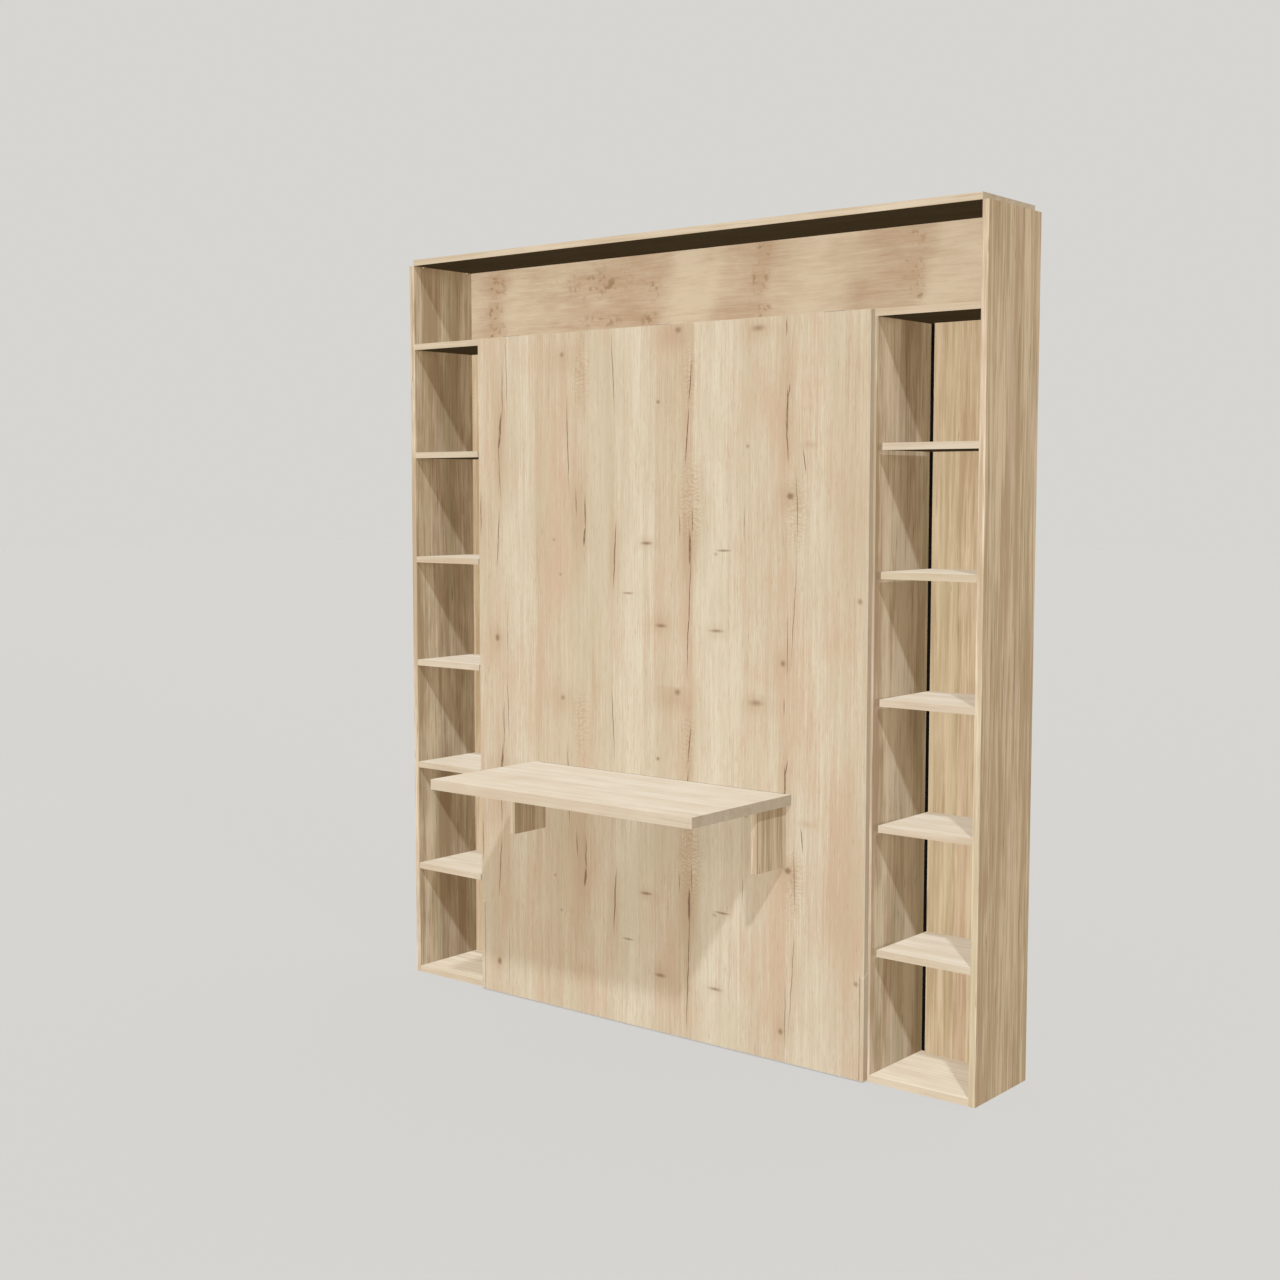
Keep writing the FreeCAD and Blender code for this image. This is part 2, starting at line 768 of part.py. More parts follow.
def foot_board():
    panel = slab(-foot_half_width, foot_half_width, 0, foot_rear_y, niche_floor_bottom, niche_floor_top)
    cuts = []
    for centre in foot_hinge_places():
        low, high = foot_hinge_span(centre)
        cuts.append(slab(
            low, high, -overrun, foot_hinge_leaf_depth,
            niche_floor_top - foot_hinge_leaf, niche_floor_top + overrun,
        ))
        cuts.append(foot_barrel_room(centre))
    return panel.cut(Part.makeCompound(cuts))


def foot_knuckles(centre):
    third = foot_hinge_length / 3
    low = centre - foot_hinge_length / 2
    return [(low + third * index + fit_gap / 2, third - fit_gap) for index in range(3)]


def foot_leaf(centre, y_low, y_high, z_top, own):
    """Leaf of one foot board hinge. The indices in own name the knuckles that belong to it."""
    low, high = foot_hinge_span(centre)
    leaf = slab(low, high, y_low, y_high, z_top - foot_hinge_leaf, z_top)
    clear = foot_hinge_barrel_radius + fit_gap
    for index, (start_x, length) in enumerate(foot_knuckles(centre)):
        start = (start_x, foot_axis_y, foot_axis_z)
        if index in own:
            leaf = leaf.fuse(round_bar(foot_hinge_barrel_radius, length, start, (1, 0, 0)))
        else:
            room_start = (start_x - fit_gap, foot_axis_y, foot_axis_z)
            leaf = leaf.cut(round_bar(clear, length + 2 * fit_gap, room_start, (1, 0, 0)))
    bore_start = (low - overrun, foot_axis_y, foot_axis_z)
    bore_length = foot_hinge_length + 2 * overrun
    bore = round_bar(foot_hinge_pin_radius + running_gap, bore_length, bore_start, (1, 0, 0))
    return leaf.cut(bore).removeSplitter()


def foot_hinge_bed_leaves():
    front_edge = foot_axis_y - foot_hinge_leaf_depth
    return [
        foot_leaf(centre, front_edge, foot_axis_y, front_top_z, (0, 2))
        for centre in foot_hinge_places()
    ]


def foot_hinge_board_leaves():
    return [
        foot_leaf(centre, foot_axis_y, foot_hinge_leaf_depth, niche_floor_top, (1,))
        for centre in foot_hinge_places()
    ]


def foot_hinge_pins():
    pins = []
    for centre in foot_hinge_places():
        start = (centre - foot_hinge_length / 2, foot_axis_y, foot_axis_z)
        pins.append(round_bar(foot_hinge_pin_radius, foot_hinge_length, start, (1, 0, 0)))
    return pins


# All pieces, by name

def all_pieces():
    pieces = {
        "top_panel": [top_panel()],
        "upper_back": [upper_back()],
        "foot_ledger": foot_ledger(),
        "rear_braces": [low_brace(), high_brace()],
        "slot_covers": pair(slot_cover()),
        "front_filler_strips": pair(front_filler()),
        "bumper_pads": bumper_pads(),
        "pivot_plates": pair(pivot_plate()),
        "pivot_bushes": pair(pivot_bush()),
        "pivot_pins": pair(pivot_pin()),
        "strut_anchor_studs": pair(fixed_stud()),
        "strut_rail_studs": pair(moving_stud()),
        "bed_front": [bed_front()],
        "bed_head_rail": [cross_rail(rail_bottom_z)],
        "bed_foot_rail": [cross_rail(rail_top_z - cross_rail_height)],
        "front_battens": front_battens(),
        "slats": [slat(z) for z in slat_places()],
        "mattress": [mattress()],
        "mattress_straps": mattress_straps(),
        "bracket_screws": bracket_screw_bars(0),
        "front_magnets": front_magnet_bars(0),
        "desk_top": [desk_top()],
        "desk_magnets": desk_magnet_bars(0),
        "desk_hinge_bed_leaf": [desk_hinge_bed_leaf()],
        "desk_hinge_top_leaf": [desk_hinge_top_leaf()],
        "hinge_pins": [desk_hinge_pin()] + foot_hinge_pins(),
        "foot_board": [foot_board()],
        "foot_hinge_bed_leaves": foot_hinge_bed_leaves(),
        "foot_hinge_board_leaves": foot_hinge_board_leaves(),
    }
    holders = []
    for z in slat_places():
        holders.extend(pair(slat_holder(z)))
    pieces["slat_holders"] = holders
    handed = {
        "side_panel": side_panel(),
        "divider": divider(),
        "niche_floor": column_floor(),
        "column_back": column_back(),
        "bottom_panel": bottom_panel(),
        "bed_side_rail": side_rail(),
        "desk_bracket": desk_bracket(),
        "strut_cylinder": strut_cylinder(),
        "strut_rod": strut_rod(),
    }
    for index, bottom in enumerate(shelf_bottoms()):
        handed[f"shelf_{index + 1}"] = shelf(bottom)
    for name, shape in handed.items():
        pieces[f"{name}_right"] = [shape]
        pieces[f"{name}_left"] = [mirrored(shape)]
    dowels = []
    for bar in dowel_bars(dowel_radius, 0):
        dowels.extend(pair(bar))
    pieces["shelf_dowels"] = dowels
    pins = []
    for bar in top_pin_bars(top_pin_radius, 0):
        pins.extend(pair(bar))
    pieces["top_panel_pins"] = pins
    return pieces


def write_steps():
    os.makedirs("parts", exist_ok=True)
    shift = FreeCAD.Vector(0, frame_shift_y, 0)
    for name, solids in all_pieces().items():
        placed = []
        for solid in solids:
            copy = solid.copy()
            copy.translate(shift)
            placed.append(copy)
        shape = placed[0] if len(placed) == 1 else Part.makeCompound(placed)
        shape.exportStep(f"parts/{name}.step")


write_steps()
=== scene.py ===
import math

import bpy
from mathutils import Matrix, Vector


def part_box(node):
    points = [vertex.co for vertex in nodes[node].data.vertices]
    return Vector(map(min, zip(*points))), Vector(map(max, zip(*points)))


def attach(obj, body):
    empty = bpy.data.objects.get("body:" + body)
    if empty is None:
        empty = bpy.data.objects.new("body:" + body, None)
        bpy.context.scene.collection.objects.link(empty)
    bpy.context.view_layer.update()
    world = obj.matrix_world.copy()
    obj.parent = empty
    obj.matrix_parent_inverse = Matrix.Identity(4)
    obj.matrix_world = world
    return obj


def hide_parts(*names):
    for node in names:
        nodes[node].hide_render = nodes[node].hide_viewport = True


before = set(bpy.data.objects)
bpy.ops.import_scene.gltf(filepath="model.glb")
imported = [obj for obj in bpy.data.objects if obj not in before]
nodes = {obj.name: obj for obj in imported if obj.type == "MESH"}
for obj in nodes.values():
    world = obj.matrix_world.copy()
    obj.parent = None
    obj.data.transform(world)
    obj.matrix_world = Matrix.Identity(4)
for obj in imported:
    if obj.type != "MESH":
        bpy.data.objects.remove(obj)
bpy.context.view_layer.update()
scene = bpy.context.scene

X, Y, Z = 0, 1, 2


# Small helpers for node materials

class Graph:
    """Makes and joins shader nodes. A value may be a number, a colour or another node's output."""

    # A Mix node's sockets for colours come after those for numbers and vectors
    COLOUR_A, COLOUR_B, COLOUR_RESULT = 6, 7, 2

    def __init__(self, tree):
        self.tree = tree

    def put(self, socket, value):
        if isinstance(value, bpy.types.NodeSocket):
            self.tree.links.new(value, socket)
        elif value is not None:
            socket.default_value = value

    def node(self, kind, **settings):
        made = self.tree.nodes.new(kind)
        for key, value in settings.items():
            setattr(made, key, value)
        return made

    def math(self, operation, a, b=None, c=None):
        made = self.node("ShaderNodeMath", operation=operation)
        for socket, value in zip(made.inputs, (a, b, c)):
            self.put(socket, value)
        return made.outputs[0]

    def add(self, a, b):
        return self.math("ADD", a, b)

    def minus(self, a, b):
        return self.math("SUBTRACT", a, b)

    def mul(self, a, b):
        return self.math("MULTIPLY", a, b)

    def place(self):
        return self.node("ShaderNodeTexCoord").outputs["Object"]

    def split(self, vector):
        parts = self.node("ShaderNodeSeparateXYZ")
        self.put(parts.inputs[0], vector)
        return tuple(parts.outputs)

    def join(self, x, y, z):
        made = self.node("ShaderNodeCombineXYZ")
        for socket, value in zip(made.inputs, (x, y, z)):
            self.put(socket, value)
        return made.outputs[0]

    def drawn_out(self, vector, waves):
        """The vector with its three parts multiplied, so that noise at it has that many waves per metre."""
        made = self.node("ShaderNodeMapping", vector_type="POINT")
        self.put(made.inputs["Vector"], vector)
        made.inputs["Scale"].default_value = waves
        return made.outputs[0]

    def noise_node(self, vector, scale, detail, roughness):
        made = self.node("ShaderNodeTexNoise")
        self.put(made.inputs["Vector"], vector)
        made.inputs["Scale"].default_value = scale
        made.inputs["Detail"].default_value = detail
        made.inputs["Roughness"].default_value = roughness
        return made

    def noise(self, vector, scale, detail=3.0, roughness=0.55):
        return self.noise_node(vector, scale, detail, roughness).outputs["Fac"]

    def remap(self, value, low, high, to_low=0.0, to_high=1.0, smooth=True):
        made = self.node("ShaderNodeMapRange", interpolation_type="SMOOTHSTEP" if smooth else "LINEAR")
        for socket, given in zip(made.inputs[:5], (value, low, high, to_low, to_high)):
            self.put(socket, given)
        return made.outputs[0]

    def ramp(self, value, stops):
        """Grey ramp with soft steps, from (place, level) pairs."""
        made = self.node("ShaderNodeValToRGB")
        made.color_ramp.interpolation = "EASE"
        elements = made.color_ramp.elements
        while len(elements) < len(stops):
            elements.new(0.5)
        for element, (place, level) in zip(elements, stops):
            element.position = place
            element.color = (level, level, level, 1)
        self.put(made.inputs[0], value)
        return made.outputs[0]

    def mix(self, share, a, b, blend="MIX"):
        made = self.node("ShaderNodeMix", data_type="RGBA", blend_type=blend)
        self.put(made.inputs[0], share)
        self.put(made.inputs[self.COLOUR_A], a)
        self.put(made.inputs[self.COLOUR_B], b)
        return made.outputs[self.COLOUR_RESULT]

    def bump(self, height, strength, distance):
        made = self.node("ShaderNodeBump")
        made.inputs["Strength"].default_value = strength
        made.inputs["Distance"].default_value = distance
        self.put(made.inputs["Height"], height)
        return made.outputs[0]


def new_material(name):
    material = bpy.data.materials.new(name)
    material.use_nodes = True
    tree = material.node_tree
    tree.nodes.clear()
    output = tree.nodes.new("ShaderNodeOutputMaterial")
    shader = tree.nodes.new("ShaderNodeBsdfPrincipled")
    tree.links.new(shader.outputs["BSDF"], output.inputs["Surface"])
    return material, Graph(tree), shader


def colour(red, green, blue):
    """Linear colour from a colour written as seen on a screen, 0 to 255."""
    def linear(value):
        share = value / 255
        return share / 12.92 if share <= 0.04045 else ((share + 0.055) / 1.055) ** 2.4
    return (linear(red), linear(green), linear(blue), 1.0)


def lighter(base, share):
    """Paler colour. What is added first makes black grow paler too."""
    return tuple(value + (value + 0.02) * share for value in base[:3]) + (1.0,)


def darker(base, share):
    return tuple(value * (1 - share) for value in base[:3]) + (1.0,)


# Grain, bands and marks that the oak decors share. Waves are per metre, and lengths are metres.

PORE_WAVES = 16, 900
CRACK_STRETCH = 1.12
CRACK_EDGE = 2.2, 0.75
CLOUD_EDGE = 0.9, 0.6


def along_axis(axis, along, across):
    """Three values for the three axes, one of them along the grain."""
    return tuple(along if index == axis else across for index in range(3))


def grain(g, place, axis, along, across, detail=2.0, roughness=0.55):
    """Noise drawn out along one axis. Along and across are waves per metre."""
    return g.noise(g.drawn_out(place, along_axis(axis, along, across)), 1.0, detail, roughness)


def pore_grain(g, place, axis):
    along, across = PORE_WAVES
    return grain(g, place, axis, along, across)


def shaken(g, place, waves, amount):
    """The place moved about a little, so that lines drawn at it waver. Amount is in metres for each axis."""
    noise = g.noise_node(g.drawn_out(place, waves), scale=1.0, detail=3.0, roughness=0.5)
    centred = g.node("ShaderNodeVectorMath", operation="SUBTRACT")
    g.put(centred.inputs[0], noise.outputs["Color"])
    centred.inputs[1].default_value = (0.5, 0.5, 0.5)
    moved = g.node("ShaderNodeVectorMath", operation="MULTIPLY_ADD")
    g.put(moved.inputs[0], centred.outputs[0])
    moved.inputs[1].default_value = amount
    g.put(moved.inputs[2], place)
    return moved.outputs[0]


def varied(g, tone, noises):
    """Tone moved up and down by noises, each given with how far it moves the tone."""
    for noise, share in noises:
        tone = g.add(g.mul(g.minus(noise, 0.5), share), tone)
    return tone


def banded(g, across, half_width, bands):
    """Level of broad bands side by side. Each is its place, within the half width either way, and level."""
    share = g.math("DIVIDE", g.add(across, half_width), 2 * half_width)
    return g.ramp(share, [((place + half_width) / (2 * half_width), level) for place, level in bands])


def marks_level(g, vector, marks, edge):
    """Level that is high inside marks. Each mark is x, z, half width, half height, darkness and lean.

    Edge is how firm their edges are and at what share of the half width the level equals the darkness.
    """
    firmness, reach = edge
    total = 0.0
    for x, z, wide, high, dark, lean in marks:
        local = g.node("ShaderNodeMapping", vector_type="TEXTURE")
        g.put(local.inputs["Vector"], vector)
        local.inputs["Location"].default_value = (x, 0, z)
        local.inputs["Rotation"].default_value = (0, lean, 0)
        local.inputs["Scale"].default_value = (wide, 1, high)
        distance = g.node("ShaderNodeVectorMath", operation="LENGTH")
        g.put(distance.inputs[0], local.outputs[0])
        most = (1 + reach * firmness) * dark
        level = g.math("MULTIPLY_ADD", distance.outputs["Value"], -firmness * dark, most)
        total = g.math("MAXIMUM", level, total)
    return g.remap(total, 0.0, 1.0)


def cracks(g, vector, marks):
    """Upright cracks. Each is x, lowest and highest z, half width, darkness and lean."""
    return marks_level(g, vector, [
        (x, (low + high) / 2, wide, CRACK_STRETCH * (high - low) / 2, dark, lean)
        for x, low, high, wide, dark, lean in marks
    ], CRACK_EDGE)


def knots(g, vector, marks):
    """Knots and soft clouds. Each is x, z, half width, half height and darkness."""
    return marks_level(g, vector, [mark + (0.0,) for mark in marks], CLOUD_EDGE)


def tint_faces(g, base, axis, low, high, tint):
    """Colour multiplied by the tint, more so as the normal's part along the axis goes from low to high."""
    normal = g.split(g.node("ShaderNodeTexCoord").outputs["Normal"])[axis]
    share = g.remap(g.math("ABSOLUTE", normal), low, high)
    return g.mix(share, base, tint, blend="MULTIPLY")


def finish_oak(g, shader, base, pores, height):
    """Sealed decor: a dull sheen that varies with the pores, and a fine relief."""
    g.put(shader.inputs["Base Color"], base)
    g.put(shader.inputs["Roughness"], g.remap(pores, 0.3, 0.7, to_low=0.48, to_high=0.64, smooth=False))
    shader.inputs["Specular IOR Level"].default_value = 0.12
    g.put(shader.inputs["Normal"], g.bump(height, strength=0.3, distance=0.0007))


# Plain decor of the boards

WARM_STRIPE = colour(211, 179, 152)
COOL_STRIPE = colour(206, 190, 150)
STRIPE_SHARE = 2.8
BLOTCH_SHARE = 1.2


def plain_oak(
    name, axis, pale, tan, brown, contrast=1.0, dashes=1.0, seed=0.0, edge=None, blotches=0.8,
    stripe_waves=40, line_share=2.5,
):
    """Oak decor in narrow stripes that come and go, with warm and cool ones side by side and dark dashes.

    Contrast, dashes, blotches and the share of the fine lines say how strong these are, and the seed shifts
    the pattern. Stripe waves are the stripes per metre. Edge tints the faces by the way they point: an
    axis, two levels of the normal along it and the colour. This tint is partly the edge band's own colour
    and partly painted light and shade, set by the way each face points.
    """
    material, g, shader = new_material(name)
    shifted = g.node("ShaderNodeVectorMath", operation="ADD")
    g.put(shifted.inputs[0], g.place())
    shifted.inputs[1].default_value = (seed, seed * 0.7, seed * 1.3)
    waver = along_axis(axis, along=0.0, across=0.02)
    place = shaken(g, shifted.outputs[0], waves=along_axis(axis, along=1.3, across=3.0), amount=waver)
    boards = grain(g, place, axis, along=0.9, across=8)
    stripes = grain(g, place, axis, along=1.5, across=stripe_waves)
    lines = grain(g, place, axis, along=4.0, across=150, detail=3.0)
    fine = grain(g, place, axis, along=9, across=520, detail=3.0)
    clouds = grain(g, place, axis, along=7, across=16, detail=4.0)
    lively = g.remap(grain(g, place, axis, along=1.1, across=7), 0.38, 0.62, to_low=0.35, to_high=1.25)
    tone = varied(g, 0.5, [
        (noise, share * contrast) for noise, share in ((boards, 1.6), (lines, line_share), (fine, 1.4))
    ])
    tone = g.add(g.mul(g.mul(g.minus(stripes, 0.5), lively), STRIPE_SHARE * contrast), tone)
    tone = varied(g, tone, [(clouds, BLOTCH_SHARE * blotches)])
    base = g.mix(g.remap(tone, 0.0, 1.0, smooth=False), tan, pale)
    hue = grain(g, place, axis, along=0.5, across=27)
    base = g.mix(g.remap(hue, 0.53, 0.70, to_high=0.40 * contrast), base, WARM_STRIPE)
    base = g.mix(g.remap(hue, 0.47, 0.30, to_high=0.45 * contrast), base, COOL_STRIPE)
    veins = grain(g, place, axis, along=3.0, across=130)
    base = g.mix(g.remap(veins, 0.62, 0.74, to_high=0.40 * contrast), base, brown)
    short = grain(g, place, axis, along=9, across=160)
    base = g.mix(g.remap(short, 0.67, 0.76, to_high=0.55 * dashes), base, brown)
    # Painted light and shade together with the edge band's own colour: faces are tinted by the way they point
    if edge:
        base = tint_faces(g, base, *edge)
    pores = pore_grain(g, place, axis)
    finish_oak(g, shader, base, pores, g.add(g.mul(pores, 0.6), g.mul(fine, 0.4)))
    return material


# Decor of the bed front. Metres: x from its middle, z from the floor, and the pattern repeats upwards.

FRONT_REPEAT = 0.98
FRONT_HALF_WIDTH = 0.68
FRONT_PALE = colour(221, 209, 184)
FRONT_TAN = colour(197, 173, 144)
FRONT_ROSY = colour(206, 177, 150)
FRONT_GREY = colour(204, 190, 162)
FLECK_BROWN = colour(178, 150, 120)
CLOUD_BROWN = colour(186, 153, 122)
RIPPLE_BROWN = colour(184, 152, 120)
CRACK_BROWN = colour(114, 86, 63)
KNOT_BROWN = colour(134, 104, 78)
# Broad bands: x and level
FRONT_BANDS = (
    (-0.68, 0.50), (-0.60, 0.40), (-0.57, 0.62), (-0.50, 0.70), (-0.453, 0.55), (-0.450, 0.22),
    (-0.36, 0.22), (-0.345, 0.42), (-0.29, 0.22), (-0.20, 0.55), (-0.158, 0.45), (-0.150, 0.85),
    (-0.09, 0.95), (-0.010, 0.66), (-0.006, 0.35), (0.06, 0.25), (0.122, 0.28), (0.126, 0.80),
    (0.21, 1.00), (0.286, 0.80), (0.290, 0.40), (0.36, 0.45), (0.432, 0.25), (0.438, 0.60),
    (0.52, 0.85), (0.60, 0.50), (0.630, 0.28), (0.66, 0.45),
)
# Upright cracks: x, lowest and highest z, half width, darkness and lean
FRONT_CRACKS = (
    (-0.672, 0.40, 0.53, 0.0020, 0.60, 0.0), (-0.565, 0.77, 0.985, 0.0016, 0.55, -0.03),
    (-0.582, 0.74, 0.90, 0.0022, 0.45, 0.0), (-0.592, 0.65, 0.76, 0.0044, 0.80, 0.11),
    (-0.596, 0.52, 0.67, 0.0018, 0.70, -0.05), (-0.602, 0.30, 0.47, 0.0019, 0.75, 0.07),
    (-0.566, 0.02, 0.20, 0.0014, 0.45, 0.0), (-0.326, 0.56, 0.78, 0.0018, 0.80, -0.03),
    (-0.294, 0.46, 0.54, 0.0026, 0.40, -0.05), (-0.260, 0.42, 0.52, 0.0034, 0.45, 0.0),
    (-0.263, 0.38, 0.43, 0.0040, 0.80, 0.10), (-0.157, 0.76, 0.96, 0.0016, 0.60, -0.05),
    (-0.151, 0.27, 0.44, 0.0024, 0.75, 0.05), (0.115, 0.77, 0.88, 0.0022, 0.65, 0.10),
    (0.105, 0.61, 0.75, 0.0022, 0.90, 0.08), (0.124, 0.42, 0.49, 0.0016, 0.55, 0.0),
    (0.115, 0.34, 0.42, 0.0042, 0.90, 0.0), (0.112, 0.04, 0.35, 0.0019, 0.80, 0.04),
    (0.080, 0.41, 0.47, 0.0014, 0.50, 0.0), (0.427, 0.93, 0.975, 0.0016, 0.65, 0.0),
    (0.436, 0.77, 0.81, 0.0019, 0.65, 0.20), (0.431, 0.69, 0.79, 0.0026, 0.90, 0.0),
    (0.431, 0.61, 0.72, 0.0019, 0.80, -0.08), (0.485, 0.58, 0.64, 0.0018, 0.70, -0.10),
    (0.463, 0.41, 0.58, 0.0014, 0.55, -0.04), (0.456, 0.08, 0.36, 0.0014, 0.50, 0.06),
    (0.436, 0.04, 0.22, 0.0014, 0.50, 0.0), (0.296, 0.40, 0.49, 0.0013, 0.45, 0.0),
)
# Knots, clouds and rippled spots: x, z, half width, half height and darkness
FRONT_KNOTS = (
    (-0.607, 0.10, 0.007, 0.009, 0.80), (-0.380, 0.395, 0.006, 0.005, 0.40),
    (-0.355, 0.295, 0.006, 0.005, 0.40), (-0.347, 0.92, 0.007, 0.007, 0.55),
    (-0.102, 0.25, 0.018, 0.003, 0.60), (-0.037, 0.39, 0.017, 0.004, 0.70),
    (0.005, 0.775, 0.006, 0.005, 0.60), (0.015, 0.165, 0.017, 0.005, 0.65),
    (0.074, 0.965, 0.010, 0.008, 0.60), (0.206, 0.16, 0.021, 0.004, 0.60),
    (0.203, 0.365, 0.007, 0.005, 0.40), (0.229, 0.375, 0.022, 0.003, 0.65),
    (0.306, 0.65, 0.006, 0.005, 0.50), (0.337, 0.955, 0.021, 0.008, 0.50),
    (0.422, 0.085, 0.007, 0.008, 0.65), (0.442, 0.52, 0.009, 0.007, 0.90),
    (0.656, 0.255, 0.007, 0.007, 0.55),
)
FRONT_CLOUDS = (
    (-0.594, 0.68, 0.026, 0.18, 0.60), (-0.280, 0.46, 0.034, 0.17, 0.60),
    (-0.350, 0.91, 0.060, 0.05, 0.45), (-0.152, 0.34, 0.020, 0.13, 0.50),
    (-0.035, 0.39, 0.040, 0.02, 0.40), (0.015, 0.17, 0.040, 0.03, 0.50),
    (0.060, 0.95, 0.060, 0.04, 0.60), (0.103, 0.70, 0.026, 0.20, 0.32),
    (0.113, 0.37, 0.028, 0.09, 0.75), (0.206, 0.16, 0.040, 0.02, 0.35),
    (0.337, 0.95, 0.050, 0.03, 0.50), (0.430, 0.72, 0.022, 0.16, 0.48),
    (0.440, 0.52, 0.036, 0.04, 0.60), (0.500, 0.65, 0.030, 0.010, 0.50),
    (0.425, 0.09, 0.030, 0.04, 0.45), (-0.607, 0.10, 0.026, 0.04, 0.50),
    (-0.672, 0.45, 0.020, 0.10, 0.50), (0.610, 0.42, 0.085, 0.33, 0.35),
)
FRONT_RIPPLES = (
    (0.118, 0.50, 0.034, 0.10, 0.9), (0.112, 0.84, 0.020, 0.09, 0.7), (-0.275, 0.86, 0.030, 0.10, 0.6),
    (0.46, 0.48, 0.034, 0.09, 0.6),
)


def front_oak(name):
    """Rustic oak decor: broad upright boards, cracks with a brown shade beside them, knots and ripples."""
    material, g, shader = new_material(name)
    place = shaken(g, g.place(), waves=(5, 5, 1.6), amount=(0.02, 0.0, 0.0))
    gentle = shaken(g, g.place(), waves=(5, 5, 1.6), amount=(0.006, 0.0, 0.0))
    jagged = shaken(g, g.place(), waves=(14, 14, 22), amount=(0.007, 0.0, 0.004))
    x, _, z = g.split(jagged)
    height_in_repeat = g.mul(g.math("FRACT", g.math("DIVIDE", z, FRONT_REPEAT)), FRONT_REPEAT)
    at = g.join(x, 0.0, height_in_repeat)
    band = banded(g, g.split(gentle)[X], FRONT_HALF_WIDTH, FRONT_BANDS)
    patches = grain(g, place, Z, along=3.0, across=11, detail=4.0, roughness=0.6)
    stripes = grain(g, place, Z, along=1.6, across=50, detail=3.0)
    threads = grain(g, place, Z, along=2.4, across=240, roughness=0.7)
    lines = grain(g, place, Z, along=5.0, across=180, detail=3.0, roughness=0.7)
    fine = grain(g, g.place(), Z, along=30.0, across=330, detail=3.0, roughness=0.8)
    tone = g.add(g.mul(band, 0.62), 0.18)
    tone = varied(g, tone, ((patches, 0.8), (stripes, 0.8), (threads, 1.1), (lines, 0.8), (fine, 1.0)))
    base = g.mix(g.remap(tone, 0.0, 1.0, smooth=False), FRONT_TAN, FRONT_PALE)
    rosy = grain(g, place, Z, along=3.0, across=8.0, detail=4.0)
    rosy_share = g.mul(g.remap(rosy, 0.46, 0.66, to_high=0.70), g.remap(tone, 1.0, 0.35))
    base = g.mix(rosy_share, base, FRONT_ROSY)
    grey = grain(g, place, Z, along=2.6, across=9.0, detail=4.0)
    base = g.mix(g.remap(grey, 0.50, 0.34, to_high=0.45), base, FRONT_GREY)
    flecks = grain(g, place, Z, along=26, across=420)
    base = g.mix(g.remap(flecks, 0.58, 0.74, to_high=0.45), base, FLECK_BROWN)
    base = g.mix(g.mul(knots(g, at, FRONT_CLOUDS), 0.50), base, CLOUD_BROWN)
    ripples = g.mul(knots(g, at, FRONT_RIPPLES), g.mul(rippled_figure(g), 0.55))
    base = g.mix(ripples, base, RIPPLE_BROWN)
    broken = g.remap(g.noise(g.place(), scale=45.0, detail=2.0), 0.34, 0.52, to_low=0.70)
    split_open = g.mul(cracks(g, at, FRONT_CRACKS), broken)
    base = g.mix(g.mul(split_open, 0.80), base, CRACK_BROWN)
    base = g.mix(g.mul(knots(g, at, FRONT_KNOTS), 0.75), base, KNOT_BROWN)
    pores = pore_grain(g, place, Z)
    relief = g.add(g.mul(pores, 0.4), g.mul(lines, 0.4))
    finish_oak(g, shader, base, pores, g.minus(relief, g.mul(split_open, 0.9)))
    return material


def rippled_figure(g):
    """Close level waves, bent by noise."""
    waves = g.node("ShaderNodeTexWave", wave_type="BANDS", bands_direction="Z", wave_profile="SIN")
    g.put(waves.inputs["Vector"], g.place())
    waves.inputs["Scale"].default_value = 26.0
    waves.inputs["Distortion"].default_value = 14.0
    waves.inputs["Detail"].default_value = 2.0
    waves.inputs["Detail Scale"].default_value = 1.4
    return waves.outputs["Fac"]


# Decor of the niche's back, in metres as above. Its grain lies level.

NICHE_HALF_WIDTH = 0.97
NICHE_MIDDLE = 2.08
NICHE_SLANT = 0.25
NICHE_PALE = colour(229, 211, 184)
NICHE_TAN = colour(201, 173, 143)
NICHE_CLOUD = colour(196, 164, 128)
NICHE_SMOKE = colour(148, 116, 84)
NICHE_BANDS = (
    (-0.97, 0.55), (-0.88, 0.30), (-0.78, 0.75), (-0.62, 0.65), (-0.45, 0.30), (-0.30, 0.22),
    (-0.23, 0.35), (-0.14, 1.00), (-0.03, 0.85), (0.03, 0.40), (0.15, 0.15), (0.20, 0.50), (0.32, 0.90),
    (0.40, 0.75), (0.50, 0.30), (0.64, 0.25), (0.72, 0.80), (0.86, 0.75), (0.97, 0.55),
)
NICHE_CLOUDS = (
    (-0.865, 2.15, 0.035, 0.030, 1.00), (-0.870, 2.07, 0.030, 0.030, 0.80),
    (-0.865, 2.01, 0.040, 0.025, 1.00), (-0.450, 2.13, 0.150, 0.045, 0.60),
    (-0.390, 2.12, 0.040, 0.018, 0.90), (-0.230, 2.11, 0.022, 0.035, 0.80),
    (-0.430, 2.02, 0.080, 0.020, 0.70), (-0.240, 2.01, 0.030, 0.020, 0.80),
    (0.165, 2.17, 0.022, 0.025, 1.00), (0.150, 2.10, 0.022, 0.035, 1.00),
    (0.165, 2.01, 0.022, 0.020, 1.00), (0.640, 2.17, 0.024, 0.018, 0.90),
    (0.640, 2.09, 0.026, 0.026, 0.90), (0.650, 2.03, 0.022, 0.020, 0.80),
    (-0.170, 1.99, 0.016, 0.010, 0.70),
)


